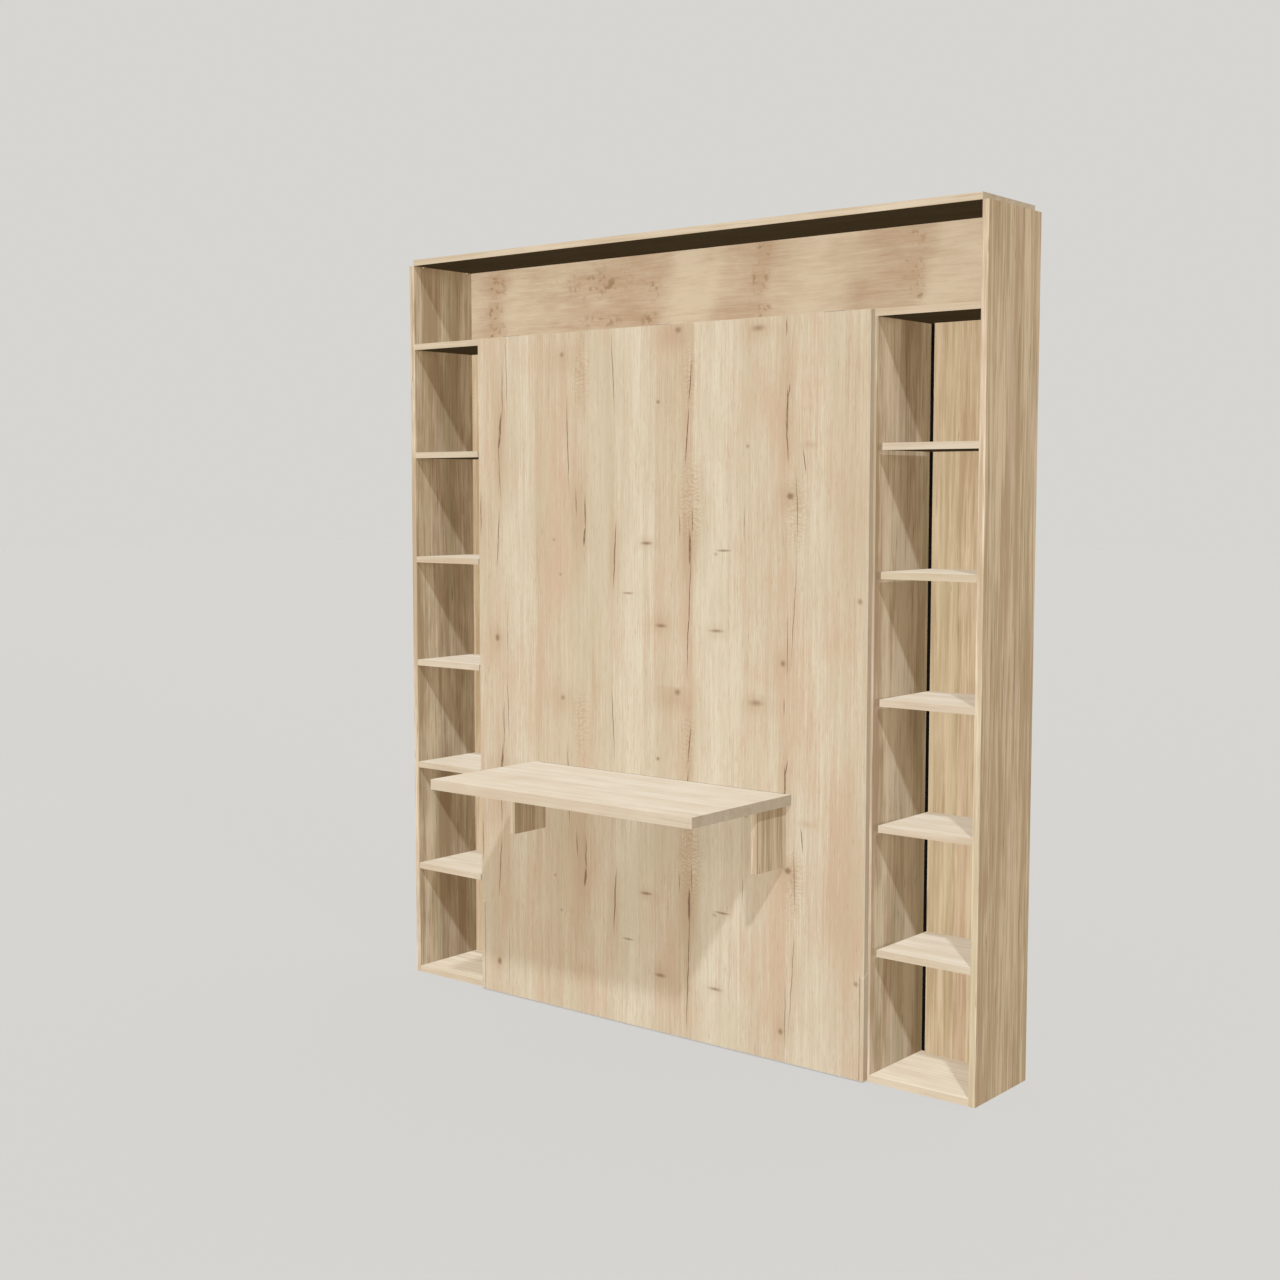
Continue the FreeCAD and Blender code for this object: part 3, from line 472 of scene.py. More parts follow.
def niche_oak(name):
    """Level-grained oak decor with broad pale patches and smoky groups of small knots."""
    material, g, shader = new_material(name)
    place = shaken(g, g.place(), waves=(3, 3, 7), amount=(0.03, 0.0, 0.02))
    at = shaken(g, g.place(), waves=(22, 22, 30), amount=(0.03, 0.0, 0.02))
    x, _, z = g.split(place)
    slant = g.mul(g.minus(z, NICHE_MIDDLE), NICHE_SLANT)
    band = banded(g, g.minus(x, slant), NICHE_HALF_WIDTH, NICHE_BANDS)
    patches = grain(g, place, X, along=8, across=14, detail=4.0)
    stripes = grain(g, place, X, along=9, across=80, detail=3.0)
    fine = grain(g, place, X, along=14, across=420, detail=3.0, roughness=0.7)
    tone = g.add(g.mul(band, 0.95), 0.02)
    tone = varied(g, tone, ((patches, 1.2), (stripes, 1.0), (fine, 1.1)))
    base = g.mix(g.remap(tone, 0.0, 1.0, smooth=False), NICHE_TAN, NICHE_PALE)
    clouds = knots(g, at, NICHE_CLOUDS)
    base = g.mix(g.mul(clouds, 0.25), base, NICHE_CLOUD)
    curled = shaken(g, g.place(), waves=(30, 30, 40), amount=(0.02, 0.0, 0.02))
    wisps = g.noise(curled, scale=60.0, detail=2.0)
    smoke = g.mul(clouds, g.remap(wisps, 0.50, 0.66, to_high=0.60))
    base = g.mix(smoke, base, NICHE_SMOKE)
    pores = pore_grain(g, place, X)
    relief = g.add(g.mul(pores, 0.4), g.mul(fine, 0.4))
    finish_oak(g, shader, base, pores, g.minus(relief, g.mul(smoke, 0.5)))
    return material


# Metals, plastics and cloth

def worn_metal(name, base, rough_low, rough_high, axis=X):
    """Bare metal with brush marks along one axis and dull patches from handling."""
    material, g, shader = new_material(name)
    brushed = grain(g, g.place(), axis, along=20, across=400, detail=3.0)
    dull = g.noise(g.place(), scale=18.0, detail=4.0)
    g.put(shader.inputs["Base Color"], g.mix(g.remap(dull, 0.35, 0.7, to_high=0.6), base, darker(base, 0.3)))
    shader.inputs["Metallic"].default_value = 1.0
    both = g.add(g.mul(brushed, 0.6), g.mul(dull, 0.4))
    g.put(shader.inputs["Roughness"], g.remap(both, 0.3, 0.7, rough_low, rough_high, smooth=False))
    g.put(shader.inputs["Normal"], g.bump(brushed, strength=0.12, distance=0.0003))
    return material


def grained_finish(name, base, rough, grain_size, relief, specular=0.5):
    """Powder coat, moulded plastic or rubber: a fine skin, with the colour a little uneven."""
    material, g, shader = new_material(name)
    skin = g.noise(g.place(), scale=1 / grain_size, detail=2.0, roughness=0.65)
    cloud = g.noise(g.place(), scale=11.0)
    uneven = g.remap(cloud, 0.35, 0.7, to_high=0.6)
    g.put(shader.inputs["Base Color"], g.mix(uneven, base, lighter(base, 0.25)))
    g.put(shader.inputs["Roughness"], g.remap(skin, 0.3, 0.7, rough - 0.08, rough + 0.1, smooth=False))
    g.put(shader.inputs["Normal"], g.bump(skin, strength=relief, distance=0.0004))
    shader.inputs["Specular IOR Level"].default_value = specular
    return material


def woven(name, base, shade, thread, rib_axis, other_axis, sheen=0.3, seam_thread_and_painted_shade=None):
    """Cloth of two sets of threads that cross. Thread is their spacing in metres.

    Seam thread and painted shade, where it is given, makes from the three parts of the place the level of the
    thread at each seam and of the painted shade in the folds beside it.
    """
    material, g, shader = new_material(name)
    parts = g.split(g.place())
    turn = 2 * math.pi / thread
    ribs = g.math("SINE", g.mul(parts[rib_axis], turn))
    weft = g.math("SINE", g.mul(parts[other_axis], turn))
    weave = g.add(g.mul(g.mul(ribs, weft), 0.5), 0.5)
    fuzz = g.noise(g.place(), scale=700.0, roughness=0.6)
    worn = g.noise(g.place(), scale=7.0, detail=4.0)
    level = g.add(g.mul(weave, 0.5), g.mul(fuzz, 0.5))
    shown = g.mix(g.remap(level, 0.25, 0.75, smooth=False), shade, base)
    shown = g.mix(g.remap(worn, 0.4, 0.7, to_high=0.25), shown, shade)
    if seam_thread_and_painted_shade:
        # The painted shade in the quilting folds and the real thread darken the cloth here
        shown = g.mix(seam_thread_and_painted_shade(g, parts), shown, darker(shade, 0.35))
    g.put(shader.inputs["Base Color"], shown)
    g.put(shader.inputs["Roughness"], g.remap(fuzz, 0.3, 0.7, to_low=0.82, to_high=0.95, smooth=False))
    shader.inputs["Sheen Weight"].default_value = sheen
    g.put(shader.inputs["Normal"], g.bump(level, strength=0.35, distance=0.0005))
    return material


# What each node of the frame is made of

SHELVES_IN_COLUMN = 5
OAK_BROWN = colour(140, 110, 80)
BOARD_PALE = colour(229, 217, 198)
BOARD_TAN = colour(209, 191, 166)
BOARD_BROWN = colour(166, 138, 106)
UPRIGHT_PALE = colour(234, 212, 179)
UPRIGHT_TAN = colour(198, 171, 136)
COLUMN_PALE = colour(238, 217, 185)
COLUMN_TAN = colour(188, 161, 127)
# Edge tints: axis, two levels of the normal along it and the colour. Each is partly the edge band's own
# colour and partly painted light and shade: paler, cooler front and back edges on the uprights, and darker,
# warmer sides and ends on the level boards.
UPRIGHT_EDGE_TINT_AND_PAINTED_LIGHT = Y, 0.3, 0.7, (1.0, 1.04, 1.13, 1.0)
COLUMN_EDGE_TINT_AND_PAINTED_LIGHT = Y, 0.3, 0.7, (1.03, 1.08, 1.18, 1.0)
SIDES_AND_ENDS_TINT_AND_PAINTED_SHADE = Z, 0.7, 0.3, (0.93, 0.90, 0.86, 1.0)


def dress(node_names, material):
    for name in node_names:
        mesh = nodes[name].data
        if not mesh.materials:
            mesh.materials.append(material)
        for index in range(len(mesh.materials)):
            mesh.materials[index] = material


def sided(*stems):
    return [f"{stem}_{side}" for stem in stems for side in ("left", "right")]


def dress_boards():
    dress(["side_panel_right"] + sided("desk_bracket"), plain_oak(
        "upright_oak", Z, UPRIGHT_PALE, UPRIGHT_TAN, OAK_BROWN, contrast=1.3, dashes=1.3, edge=UPRIGHT_EDGE_TINT_AND_PAINTED_LIGHT,
    ))
    dress(["side_panel_left"] + sided("divider"), plain_oak(
        "column_oak", Z, COLUMN_PALE, COLUMN_TAN, OAK_BROWN, contrast=1.3, dashes=1.3, seed=2.6,
        edge=COLUMN_EDGE_TINT_AND_PAINTED_LIGHT, blotches=1.2, stripe_waves=17, line_share=1.4,
    ))
    dress(sided("column_back"), plain_oak(
        "back_oak", Z, UPRIGHT_PALE, UPRIGHT_TAN, OAK_BROWN, contrast=0.9, dashes=1.2, seed=4.4,
    ))
    dress(sided("niche_floor", "bottom_panel") + ["top_panel", "foot_board", "foot_ledger"], plain_oak(
        "level_oak", X, colour(228, 214, 192), colour(206, 187, 160), OAK_BROWN, contrast=0.6, dashes=0.5,
        seed=3.1, edge=SIDES_AND_ENDS_TINT_AND_PAINTED_SHADE,
    ))
    shelves = sided(*[f"shelf_{number}" for number in range(1, SHELVES_IN_COLUMN + 1)])
    dress(shelves, plain_oak(
        "shelf_oak", X, BOARD_PALE, BOARD_TAN, BOARD_BROWN, contrast=0.5, dashes=0.3, seed=7.7,
        edge=SIDES_AND_ENDS_TINT_AND_PAINTED_SHADE,
    ))
    dress(["desk_top"], plain_oak(
        "desk_oak", X, BOARD_PALE, BOARD_TAN, BOARD_BROWN, contrast=0.4, dashes=0.4, seed=1.9,
        edge=SIDES_AND_ENDS_TINT_AND_PAINTED_SHADE,
    ))
    dress(["rear_braces", "front_battens"], plain_oak(
        "inner_oak", X, colour(228, 210, 182), colour(205, 182, 148), OAK_BROWN, contrast=0.6, dashes=0.3,
        seed=5.3,
    ))
    dress(["shelf_dowels"], plain_oak(
        "beech_dowel", X, colour(226, 194, 150), colour(204, 166, 120), OAK_BROWN,
    ))
    dress(["slats"], plain_oak(
        "beech_slat", X, colour(232, 202, 158), colour(208, 172, 126), colour(166, 124, 82), contrast=0.7,
        seed=8.8,
    ))
    dress(["upper_back"], niche_oak("niche_oak"))
    dress(["bed_front", "front_filler_strips"], front_oak("front_oak"))


def dress_metals():
    dress(
        ["pivot_plates", "pivot_pins", "strut_anchor_studs", "strut_rail_studs", "bracket_screws",
         "hinge_pins"],
        worn_metal("zinc_steel", colour(196, 198, 200), rough_low=0.28, rough_high=0.48),
    )
    dress(
        ["desk_hinge_bed_leaf", "desk_hinge_top_leaf", "foot_hinge_bed_leaves", "foot_hinge_board_leaves"],
        worn_metal("hinge_steel", colour(205, 200, 192), rough_low=0.22, rough_high=0.38),
    )
    dress(
        ["front_magnets", "desk_magnets"],
        worn_metal("magnet", colour(178, 178, 180), rough_low=0.15, rough_high=0.3),
    )
    dress(["pivot_bushes"], worn_metal("bush_bronze", colour(184, 146, 88), rough_low=0.3, rough_high=0.5))
    dress(
        sided("strut_rod"),
        worn_metal("strut_rod", colour(214, 215, 218), rough_low=0.06, rough_high=0.16, axis=Z),
    )


def dress_coated_and_moulded():
    dress(
        sided("bed_side_rail") + ["bed_head_rail", "bed_foot_rail"],
        grained_finish("frame_steel", colour(88, 90, 94), rough=0.5, grain_size=0.0007, relief=0.35),
    )
    dress(
        sided("strut_cylinder"),
        grained_finish("strut_tube", colour(34, 34, 36), rough=0.35, grain_size=0.0006, relief=0.2),
    )
    dress(["top_panel_pins"], grained_finish(
        "pin_lacquer", colour(176, 150, 118), rough=0.5, grain_size=0.0008, relief=0.2, specular=0.2,
    ))
    # Painted shadow: the slot covers are near-black so that the slot reads as the deep shade between the
    # cabinet and the wall
    dress(["slot_covers"], grained_finish(
        "dark_strip", colour(12, 11, 10), rough=0.8, grain_size=0.0010, relief=0.3, specular=0.05,
    ))
    dress(
        ["bumper_pads"],
        grained_finish("pad_rubber", colour(34, 34, 34), rough=0.75, grain_size=0.0012, relief=0.3),
    )
    dress(
        ["slat_holders"],
        grained_finish("holder_plastic", colour(44, 44, 46), rough=0.45, grain_size=0.0010, relief=0.3),
    )


dress_boards()
dress_metals()
dress_coated_and_moulded()


# Pieces that ride on the bed, and the shapes they are made from

def new_piece(name, points, faces, material):
    """Mesh object in the shared frame that rides on the bed."""
    mesh = bpy.data.meshes.new(name)
    mesh.from_pydata(points, [], faces)
    mesh.materials.append(material)
    mesh.shade_smooth()
    piece = bpy.data.objects.new(name, mesh)
    scene.collection.objects.link(piece)
    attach(piece, "bed")
    return piece


def make_tube(name, path, radius, material, sides=8):
    """Closed round cord through the points of a loop that keeps one y."""
    points = []
    faces = []
    count = len(path)
    across = Vector((0, 1, 0))
    for index, point in enumerate(path):
        ahead = (path[(index + 1) % count] - path[index - 1]).normalized()
        side = ahead.cross(across).normalized()
        for turn in range(sides):
            angle = 2 * math.pi * turn / sides
            points.append(point + (side * math.cos(angle) + across * math.sin(angle)) * radius)
    for index in range(count):
        following = (index + 1) % count
        for turn in range(sides):
            beside = (turn + 1) % sides
            faces.append((
                index * sides + turn, index * sides + beside,
                following * sides + beside, following * sides + turn,
            ))
    return new_piece(name, points, faces, material)


def rounded_loop(half_length, half_width, radius, steps=5):
    """Rounded rectangle as points in two directions."""
    loop = []
    for corner, (sign_long, sign_wide) in enumerate(((1, 1), (-1, 1), (-1, -1), (1, -1))):
        for step in range(steps + 1):
            angle = math.pi / 2 * (corner + step / steps)
            loop.append((
                sign_long * (half_length - radius) + radius * math.cos(angle),
                sign_wide * (half_width - radius) + radius * math.sin(angle),
            ))
    return loop


# Mattress: a quilted cover over foam, with piped rims

COLUMNS = 60
ROWS = 90
SIDE_LAYERS = 7
QUILT_CELLS = 6
QUILT_DEPTH = 0.011
COVER_INSET = 0.006
PLAN_RADIUS = 0.06
SIM_FRAMES = 20
PRESSURE = 4.0
SLACK = 0.05
TOP_SWELL = 0.010
SIDE_SWELL = 0.004
SIDE_NORMAL = 0.5
PIPING_RADIUS = 0.0035
# Half widths of the painted shade in the folds and of the thread at a seam, in quilt cells, how dark they
# are, and the thread's dashes
PAINTED_FOLD_SHADE_WIDTH = 0.12
PAINTED_FOLD_SHADE = 0.30
SEAM_THREAD = 0.014, 0.006
SEAM_THREAD_SHADE = 0.35
SEAM_DASHES = 90.0
mattress_low, mattress_high = (Vector(corner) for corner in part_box("mattress"))
mattress_centre = (mattress_low + mattress_high) / 2
cover_half_x = (mattress_high.x - mattress_low.x) / 2 - COVER_INSET
cover_half_z = (mattress_high.z - mattress_low.z) / 2 - COVER_INSET


def quilting_thread_and_painted_fold_shade(g, parts):
    """Painted shade in the folds beside each quilting seam, and the dashes of its thread."""
    low_x, high_x = mattress_centre.x - cover_half_x, mattress_centre.x + cover_half_x
    low_z, high_z = mattress_centre.z - cover_half_z, mattress_centre.z + cover_half_z
    across = g.remap(parts[X], low_x, high_x, to_high=COLUMNS / QUILT_CELLS, smooth=False)
    along = g.remap(parts[Z], low_z, high_z, to_high=ROWS / QUILT_CELLS, smooth=False)
    total = 0.0
    for slant in (g.add(across, along), g.minus(across, along)):
        off_seam = g.math("PINGPONG", slant, 0.5)
        # Painted shade: darkest on each seam's line and fading out across the folds beside it
        painted_fold_shade = g.remap(off_seam, PAINTED_FOLD_SHADE_WIDTH, 0.0, to_high=PAINTED_FOLD_SHADE)
        wave = g.math("SINE", g.mul(along, SEAM_DASHES))
        dashes = g.remap(wave, -0.2, 0.1, to_high=SEAM_THREAD_SHADE)
        thread = g.mul(g.remap(off_seam, *SEAM_THREAD), dashes)
        total = g.math("MAXIMUM", g.add(painted_fold_shade, thread), total)
    return total


def rounded_plan(x, z):
    """Point of the cover's grid, seen from its middle, moved so that the cover's corners are round."""
    in_x = (abs(x) - (cover_half_x - PLAN_RADIUS)) / PLAN_RADIUS
    in_z = (abs(z) - (cover_half_z - PLAN_RADIUS)) / PLAN_RADIUS
    if in_x <= 0 or in_z <= 0:
        return x, z
    round_x = cover_half_x - PLAN_RADIUS + PLAN_RADIUS * in_x * math.sqrt(1 - in_z ** 2 / 2)
    round_z = cover_half_z - PLAN_RADIUS + PLAN_RADIUS * in_z * math.sqrt(1 - in_x ** 2 / 2)
    return math.copysign(round_x, x), math.copysign(round_z, z)


def make_cover():
    """Closed cover as a grid of points, with the stitched ones and the two rims listed."""
    low = mattress_low.y
    high = mattress_high.y - QUILT_DEPTH
    points = []
    sewn = []
    place = {}

    def add(column, row, layer, is_sewn):
        x = (2 * column / COLUMNS - 1) * cover_half_x
        z = (2 * row / ROWS - 1) * cover_half_z
        x, z = rounded_plan(x, z)
        y = low + (high - low) * layer / SIDE_LAYERS
        place[column, row, layer] = len(points)
        if is_sewn:
            sewn.append(len(points))
        points.append((mattress_centre.x + x, y, mattress_centre.z + z))

    for column in range(COLUMNS + 1):
        for row in range(ROWS + 1):
            on_rim = column in (0, COLUMNS) or row in (0, ROWS)
            stitched = (column + row) % QUILT_CELLS == 0 or (column - row) % QUILT_CELLS == 0
            add(column, row, 0, True)
            add(column, row, SIDE_LAYERS, on_rim or stitched)
            for layer in range(1, SIDE_LAYERS if on_rim else 1):
                add(column, row, layer, False)

    faces = []
    for column in range(COLUMNS):
        for row in range(ROWS):
            corners = ((column, row), (column + 1, row), (column + 1, row + 1), (column, row + 1))
            faces.append([place[c, r, 0] for c, r in corners])
            faces.append([place[c, r, SIDE_LAYERS] for c, r in reversed(corners)])
    rim = [(column, 0) for column in range(COLUMNS)]
    rim += [(COLUMNS, row) for row in range(ROWS)]
    rim += [(column, ROWS) for column in range(COLUMNS, 0, -1)]
    rim += [(0, row) for row in range(ROWS, 0, -1)]
    for first, second in zip(rim, rim[1:] + rim[:1]):
        for layer in range(SIDE_LAYERS):
            faces.append([
                place[first + (layer,)], place[first + (layer + 1,)],
                place[second + (layer + 1,)], place[second + (layer,)],
            ])
    rims = [[Vector(points[place[spot + (layer,)]]) for spot in rim] for layer in (0, SIDE_LAYERS)]
    return points, faces, sewn, rims


def soft_limit(value, limit):
    return limit * math.tanh(value / limit)


def inflate(piece, sewn):
    """Cloth pressed out from inside between its stitches, then held to a small swell."""
    group = piece.vertex_groups.new(name="sewn")
    group.add(sewn, 1.0, "REPLACE")
    start = [vertex.co.copy() for vertex in piece.data.vertices]
    cloth = piece.modifiers.new("cloth", "CLOTH")
    cloth.settings.vertex_group_mass = group.name
    cloth.settings.quality = 5
    cloth.settings.use_pressure = True
    cloth.settings.uniform_pressure_force = PRESSURE
    cloth.settings.shrink_min = -SLACK
    cloth.settings.effector_weights.gravity = 0.0
    cloth.collision_settings.use_collision = False
    cloth.point_cache.frame_start = 1
    cloth.point_cache.frame_end = SIM_FRAMES
    for number in range(1, SIM_FRAMES + 1):
        scene.frame_set(number)
    solved = piece.evaluated_get(bpy.context.evaluated_depsgraph_get())
    ends = [vertex.co.copy() for vertex in solved.data.vertices]
    piece.modifiers.remove(cloth)
    scene.frame_set(1)
    held = set(sewn)
    for vertex, before, after in zip(piece.data.vertices, start, ends):
        if vertex.index in held:
            continue
        move = after - before
        vertex.co = before + Vector((
            soft_limit(move.x, SIDE_SWELL), soft_limit(move.y, TOP_SWELL), soft_limit(move.z, SIDE_SWELL),
        ))


def make_mattress():
    points, faces, sewn, rims = make_cover()
    knit = woven(
        "mattress_knit", colour(224, 221, 214), colour(200, 197, 189), thread=0.0022,
        rib_axis=X, other_axis=Z, seam_thread_and_painted_shade=quilting_thread_and_painted_fold_shade,
    )
    border = woven(
        "mattress_border", colour(150, 153, 157), colour(122, 125, 130), thread=0.0030,
        rib_axis=Y, other_axis=Z,
    )
    cord = woven(
        "piping_cord", colour(226, 224, 218), colour(190, 188, 182), thread=0.0016,
        rib_axis=X, other_axis=Z,
    )
    cover = new_piece("quilted_mattress", points, faces, knit)
    cover.data.materials.append(border)
    inflate(cover, sewn)
    for face in cover.data.polygons:
        if abs(face.normal.y) < SIDE_NORMAL:
            face.material_index = 1
    smooth = cover.modifiers.new("smooth", "SUBSURF")
    smooth.levels = 1
    smooth.render_levels = 1
    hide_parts("mattress")
    front_rim, rear_rim = rims
    for name, rim, lift in (
        ("rear_piping", rear_rim, -PIPING_RADIUS), ("front_piping", front_rim, PIPING_RADIUS),
    ):
        path = [point + Vector((0, lift, 0)) for point in rim]
        make_tube(name, path, PIPING_RADIUS, cord)


# Two webbing straps over the mattress, each with a wire buckle

STRAP_COUNT = 2
STRAP_WIDTH = 0.040
STRAP_HALF_THICKNESS = 0.001
STRAP_TAB = 0.010
STRAP_TAB_RISE = 0.016
STRAP_BEND = 0.010
STRAP_BEND_STEPS = 5
SELVEDGE_SHARE = 0.6
BUCKLE_WIRE = 0.0024
BUCKLE_PLACE = 0.36
BUCKLE_HALF_LENGTH = 0.017
BUCKLE_CORNER = 0.005


def strap_path(box_low, box_high):
    """Middle line of one strap in x and y: up from the rail, over the mattress and down again."""
    out = box_high.x - STRAP_HALF_THICKNESS
    above_mattress = box_high.y - mattress_high.y - 2 * STRAP_HALF_THICKNESS
    side = mattress_high.x + STRAP_HALF_THICKNESS + above_mattress
    top = box_high.y - STRAP_HALF_THICKNESS
    low = box_low.y + STRAP_HALF_THICKNESS
    path = [(out, low), (out, low + STRAP_TAB), (side, low + STRAP_TAB_RISE), (side, top - STRAP_BEND)]
    for step in range(1, STRAP_BEND_STEPS + 1):
        angle = math.pi / 2 * step / STRAP_BEND_STEPS
        path.append((
            side - STRAP_BEND + STRAP_BEND * math.cos(angle), top - STRAP_BEND + STRAP_BEND * math.sin(angle),
        ))
    return path + [(-x, y) for x, y in reversed(path)]


def strap_mesh(path, z):
    """Flat band with rounded selvedges, swept along the path."""
    half_width = STRAP_WIDTH / 2
    thick = STRAP_HALF_THICKNESS
    soft = thick * SELVEDGE_SHARE
    outline = [
        (half_width, -soft), (half_width, soft), (half_width - soft, thick),
        (-half_width + soft, thick), (-half_width, soft), (-half_width, -soft),
        (-half_width + soft, -thick), (half_width - soft, -thick),
    ]
    points = []
    faces = []
    for index, (x, y) in enumerate(path):
        before = path[max(index - 1, 0)]
        after = path[min(index + 1, len(path) - 1)]
        ahead = Vector((after[0] - before[0], after[1] - before[1])).normalized()
        for along, off in outline:
            points.append((x + ahead.y * off, y - ahead.x * off, z + along))
    size = len(outline)
    for index in range(len(path) - 1):
        for turn in range(size):
            beside = (turn + 1) % size
            faces.append((
                index * size + turn, (index + 1) * size + turn,
                (index + 1) * size + beside, index * size + beside,
            ))
    faces.append(tuple(range(size)))
    faces.append(tuple(reversed(range(len(points) - size, len(points)))))
    return points, faces


def make_straps():
    box_low, box_high = (Vector(corner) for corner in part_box("mattress_straps"))
    webbing = woven(
        "strap_webbing", colour(62, 63, 68), colour(34, 34, 38), thread=0.0024,
        rib_axis=X, other_axis=Z, sheen=0.1,
    )
    steel = worn_metal("buckle_steel", colour(190, 192, 194), rough_low=0.22, rough_high=0.40)
    path = strap_path(box_low, box_high)
    points = []
    faces = []
    for index in range(STRAP_COUNT):
        share = index / (STRAP_COUNT - 1)
        z = box_low.z + STRAP_WIDTH / 2 + (box_high.z - box_low.z - STRAP_WIDTH) * share
        more_points, more_faces = strap_mesh(path, z)
        faces.extend(tuple(corner + len(points) for corner in face) for face in more_faces)
        points.extend(more_points)
        loop = rounded_loop(BUCKLE_HALF_LENGTH, STRAP_WIDTH / 2 + 2 * BUCKLE_WIRE, BUCKLE_CORNER)
        ring = [Vector((BUCKLE_PLACE + x, box_high.y + BUCKLE_WIRE, z + along)) for x, along in loop]
        make_tube(f"buckle_frame_{index + 1}", ring, BUCKLE_WIRE, steel)
    straps = new_piece("webbing_straps", points, faces, webbing)
    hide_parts("mattress_straps")


# Plastic plugs in the open ends of the bed's side rails

TUBE_WALL = 0.002
PLUG_GAP = 0.0002
PLUG_DEPTH = 0.008
PLUG_INSET = 0.0005
PLUG_CORNER = 0.002
PLUG_ROUNDING = 0.0007


def stacked_faces(first, size, layers, upward):
    """Faces of a closed stack of outlines with the same number of points."""
    faces = []
    for layer in range(layers - 1):
        start = first + layer * size
        for turn in range(size):
            beside = (turn + 1) % size
            faces.append((start + turn, start + beside, start + size + beside, start + size + turn))
    faces.append(tuple(reversed(range(first, first + size))))
    last = first + (layers - 1) * size
    faces.append(tuple(range(last, last + size)))
    return faces if upward else [tuple(reversed(face)) for face in faces]


def make_rail_plugs():
    """Each plug is a stack of rounded outlines, the last one drawn in a little so that its face is soft."""
    plastic = grained_finish("plug_plastic", colour(30, 30, 32), rough=0.5, grain_size=0.0012, relief=0.3)
    points = []
    faces = []
    for rail in sided("bed_side_rail"):
        low, high = (Vector(corner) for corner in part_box(rail))
        middle = (low + high) / 2
        half_width = (high.x - low.x) / 2 - TUBE_WALL - PLUG_GAP
        half_depth = (high.y - low.y) / 2 - TUBE_WALL - PLUG_GAP
        for end, inward in ((low.z, 1), (high.z, -1)):
            first = len(points)
            outer = end + inward * PLUG_INSET
            edge = outer + inward * PLUG_ROUNDING
            inner = outer + inward * PLUG_DEPTH
            layers = ((inner, 0.0), (edge, 0.0), (outer, PLUG_CORNER / 2))
            for z, drawn_in in layers:
                loop = rounded_loop(half_width - drawn_in, half_depth - drawn_in, PLUG_CORNER)
                points.extend((middle.x + x, middle.y + y, z) for x, y in loop)
            faces.extend(stacked_faces(first, len(loop), len(layers), inward < 0))
    new_piece("rail_plugs", points, faces, plastic)


make_mattress()
make_straps()
make_rail_plugs()


# Floor and world: pale where they are seen, and darker and plain where they light the object

FLOOR_HALF = 40.0
FLOOR_DROP = 0.0005
FLOOR_PALE = colour(196, 194, 190), colour(199, 197, 193)
FLOOR_BOUNCE = colour(70, 68, 64)
WORLD_PALE = colour(214, 213, 210)
WORLD_LIGHT = (1.0, 0.94, 0.84, 1.0)
WORLD_STRENGTH = 0.08


def seen_directly(g):
    """One for a ray from the camera or by way of gloss or glass, and zero for one that gathers light."""
    path = g.node("ShaderNodeLightPath")
    seen = g.math("MAXIMUM", path.outputs["Is Camera Ray"], path.outputs["Is Glossy Ray"])
    return g.math("MAXIMUM", seen, path.outputs["Is Transmission Ray"])


def make_floor():
    mesh = bpy.data.meshes.new("floor")
    half = FLOOR_HALF
    corners = [(-half, -half, 0), (half, -half, 0), (half, half, 0), (-half, half, 0)]
    mesh.from_pydata(corners, [], [(0, 1, 2, 3)])
    floor = bpy.data.objects.new("floor", mesh)
    floor.location.z = -FLOOR_DROP
    scene.collection.objects.link(floor)
    material, g, shader = new_material("floor")
    speckle = g.noise(g.place(), scale=300.0, detail=2.0)
    pale = g.mix(g.remap(speckle, 0.3, 0.7), *FLOOR_PALE)
    g.put(shader.inputs["Base Color"], g.mix(seen_directly(g), FLOOR_BOUNCE, pale))
    shader.inputs["Roughness"].default_value = 0.9
    shader.inputs["Specular IOR Level"].default_value = 0.1
    mesh.materials.append(material)


def make_world():
    world = bpy.data.worlds.new("world")
    world.use_nodes = True
    scene.world = world
    tree = world.node_tree
    tree.nodes.clear()
    g = Graph(tree)
    output = g.node("ShaderNodeOutputWorld")
    shown = g.node("ShaderNodeBackground")
    shown.inputs["Color"].default_value = WORLD_PALE
    lit = g.node("ShaderNodeBackground")
    lit.inputs["Color"].default_value = WORLD_LIGHT
    lit.inputs["Strength"].default_value = WORLD_STRENGTH
    both = g.node("ShaderNodeMixShader")
    g.put(both.inputs[0], seen_directly(g))
    tree.links.new(lit.outputs[0], both.inputs[1])
    tree.links.new(shown.outputs[0], both.inputs[2])
    tree.links.new(both.outputs[0], output.inputs["Surface"])


# Lamps: a key that casts the shadows, and fills without shadows that stand for wide soft light

WHITE = (1.0, 1.0, 1.0)
KEY_TINT = (0.83, 0.97, 1.12)
FRONT_TINT = (1.035, 0.984, 0.925)
TOP_TINT = (1.045, 1.010, 0.972)
RIGHT_TINT = (1.05, 0.91, 0.75)
LEFT_TINT = (1.0, 0.90, 0.78)
GLOW_TINT = (1.0, 0.80, 0.50)


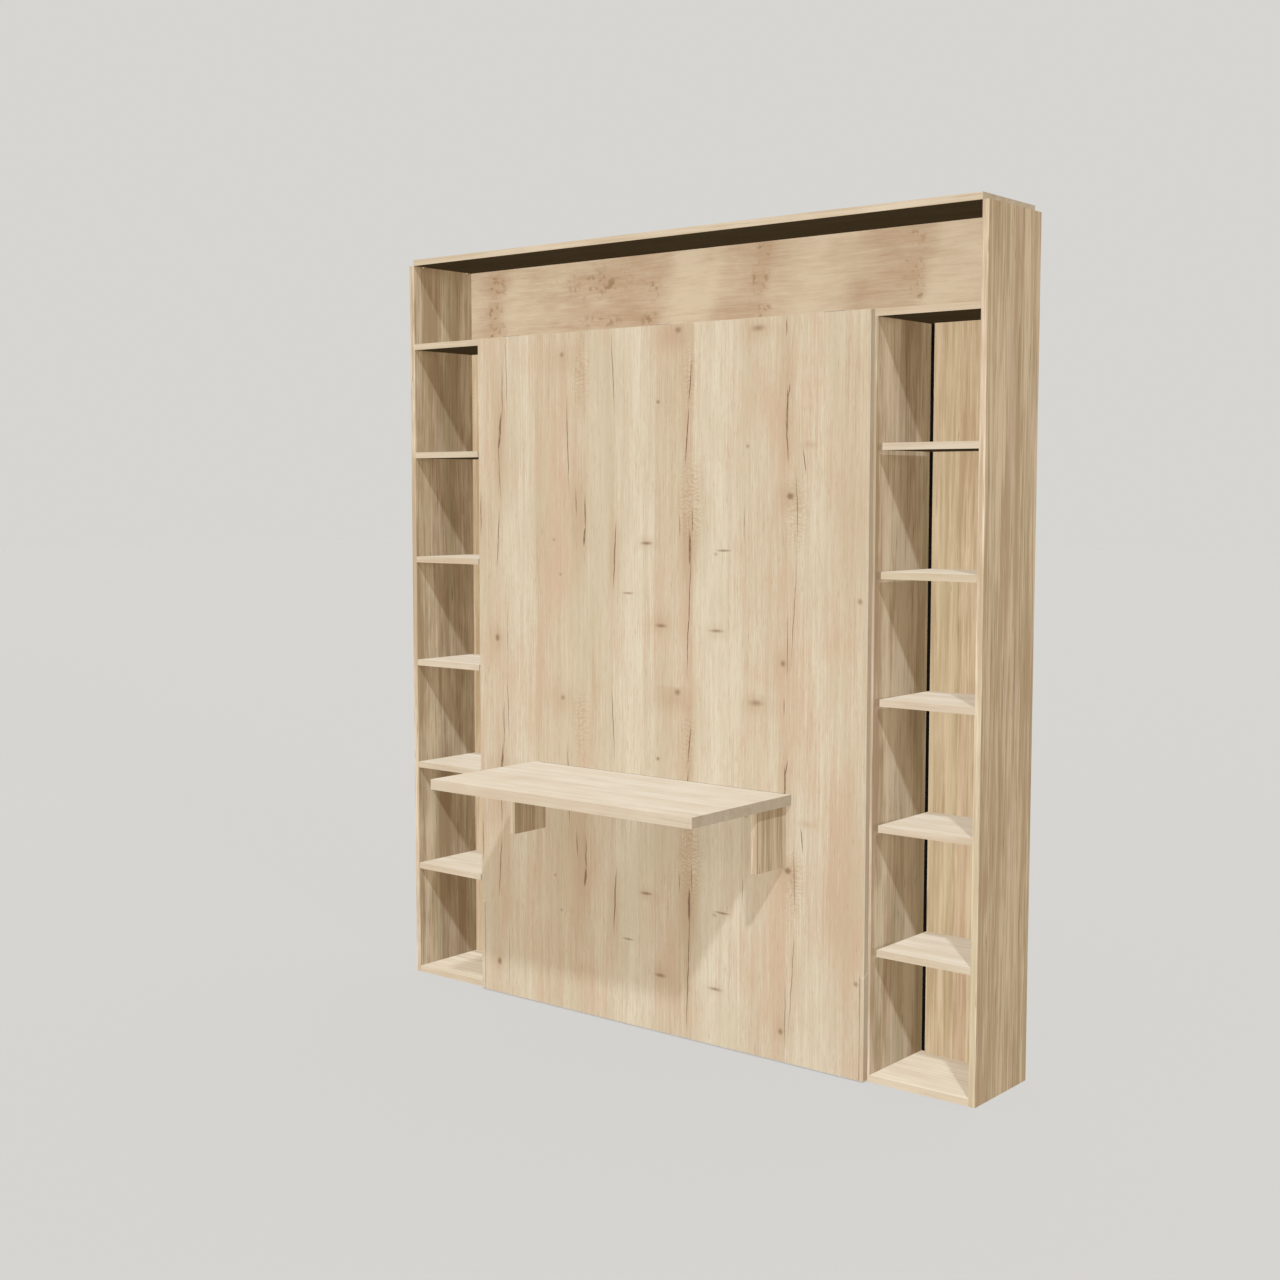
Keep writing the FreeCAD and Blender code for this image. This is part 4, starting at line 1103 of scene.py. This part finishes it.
def make_sun(name, towards, strength, tint=WHITE, angle=0.0, shadows=False):
    """Lamp whose light comes from the direction towards, seen under the angle, in degrees."""
    data = bpy.data.lights.new(name, "SUN")
    data.energy = strength * math.pi
    data.color = tint
    data.angle = math.radians(angle)
    data.use_shadow = shadows
    data.cycles.max_bounces = 0
    lamp = bpy.data.objects.new(name, data)
    lamp.rotation_mode = "QUATERNION"
    lamp.rotation_quaternion = Vector(towards).to_track_quat("Z", "Y")
    scene.collection.objects.link(lamp)


def make_lamps():
    make_sun("key", (0.454, -0.523, 0.721), strength=0.42, tint=KEY_TINT, angle=2.5, shadows=True)
    make_sun("right_key", (0.94, -0.34, 0.05), strength=0.13, angle=10.0, shadows=True)
    make_sun("front_fill", (0.0, -1.0, 0.0), strength=0.77, tint=FRONT_TINT)
    make_sun("top_fill", (0.0, 0.0, 1.0), strength=0.82, tint=TOP_TINT)
    make_sun("right_fill", (1.0, 0.0, 0.0), strength=0.33, tint=RIGHT_TINT)
    make_sun("left_fill", (-1.0, 0.0, 0.0), strength=0.40, tint=LEFT_TINT)
    make_sun("back_fill", (0.0, 1.0, 0.0), strength=0.60)
    make_sun("floor_glow", (0.0, 0.0, -1.0), strength=0.04, tint=GLOW_TINT)


# Camera: where the photographer stood, in metres and radians

CAMERA_PLACE = 3.02721, -3.69048, 1.50980
CAMERA_HEADING = 0.687182
CAMERA_PITCH = -0.0837604
CAMERA_LENS = 49.466
SENSOR_WIDTH = 36.0
NEAREST = 0.05
FARTHEST = 100.0


def make_camera():
    data = bpy.data.cameras.new("camera")
    data.sensor_fit = "HORIZONTAL"
    data.sensor_width = SENSOR_WIDTH
    data.lens = CAMERA_LENS
    data.clip_start = NEAREST
    data.clip_end = FARTHEST
    camera = bpy.data.objects.new("camera", data)
    scene.collection.objects.link(camera)
    sine, cosine = math.sin(CAMERA_HEADING), math.cos(CAMERA_HEADING)
    level = math.cos(CAMERA_PITCH)
    ahead = Vector((-sine * level, cosine * level, math.sin(CAMERA_PITCH)))
    right = Vector((cosine, sine, 0))
    up = right.cross(ahead)
    turn = Matrix((right, up, -ahead)).transposed()
    camera.matrix_world = Matrix.Translation(CAMERA_PLACE) @ turn.to_4x4()
    scene.camera = camera


make_floor()
make_world()
make_lamps()
make_camera()
scene.view_settings.view_transform = "Standard"
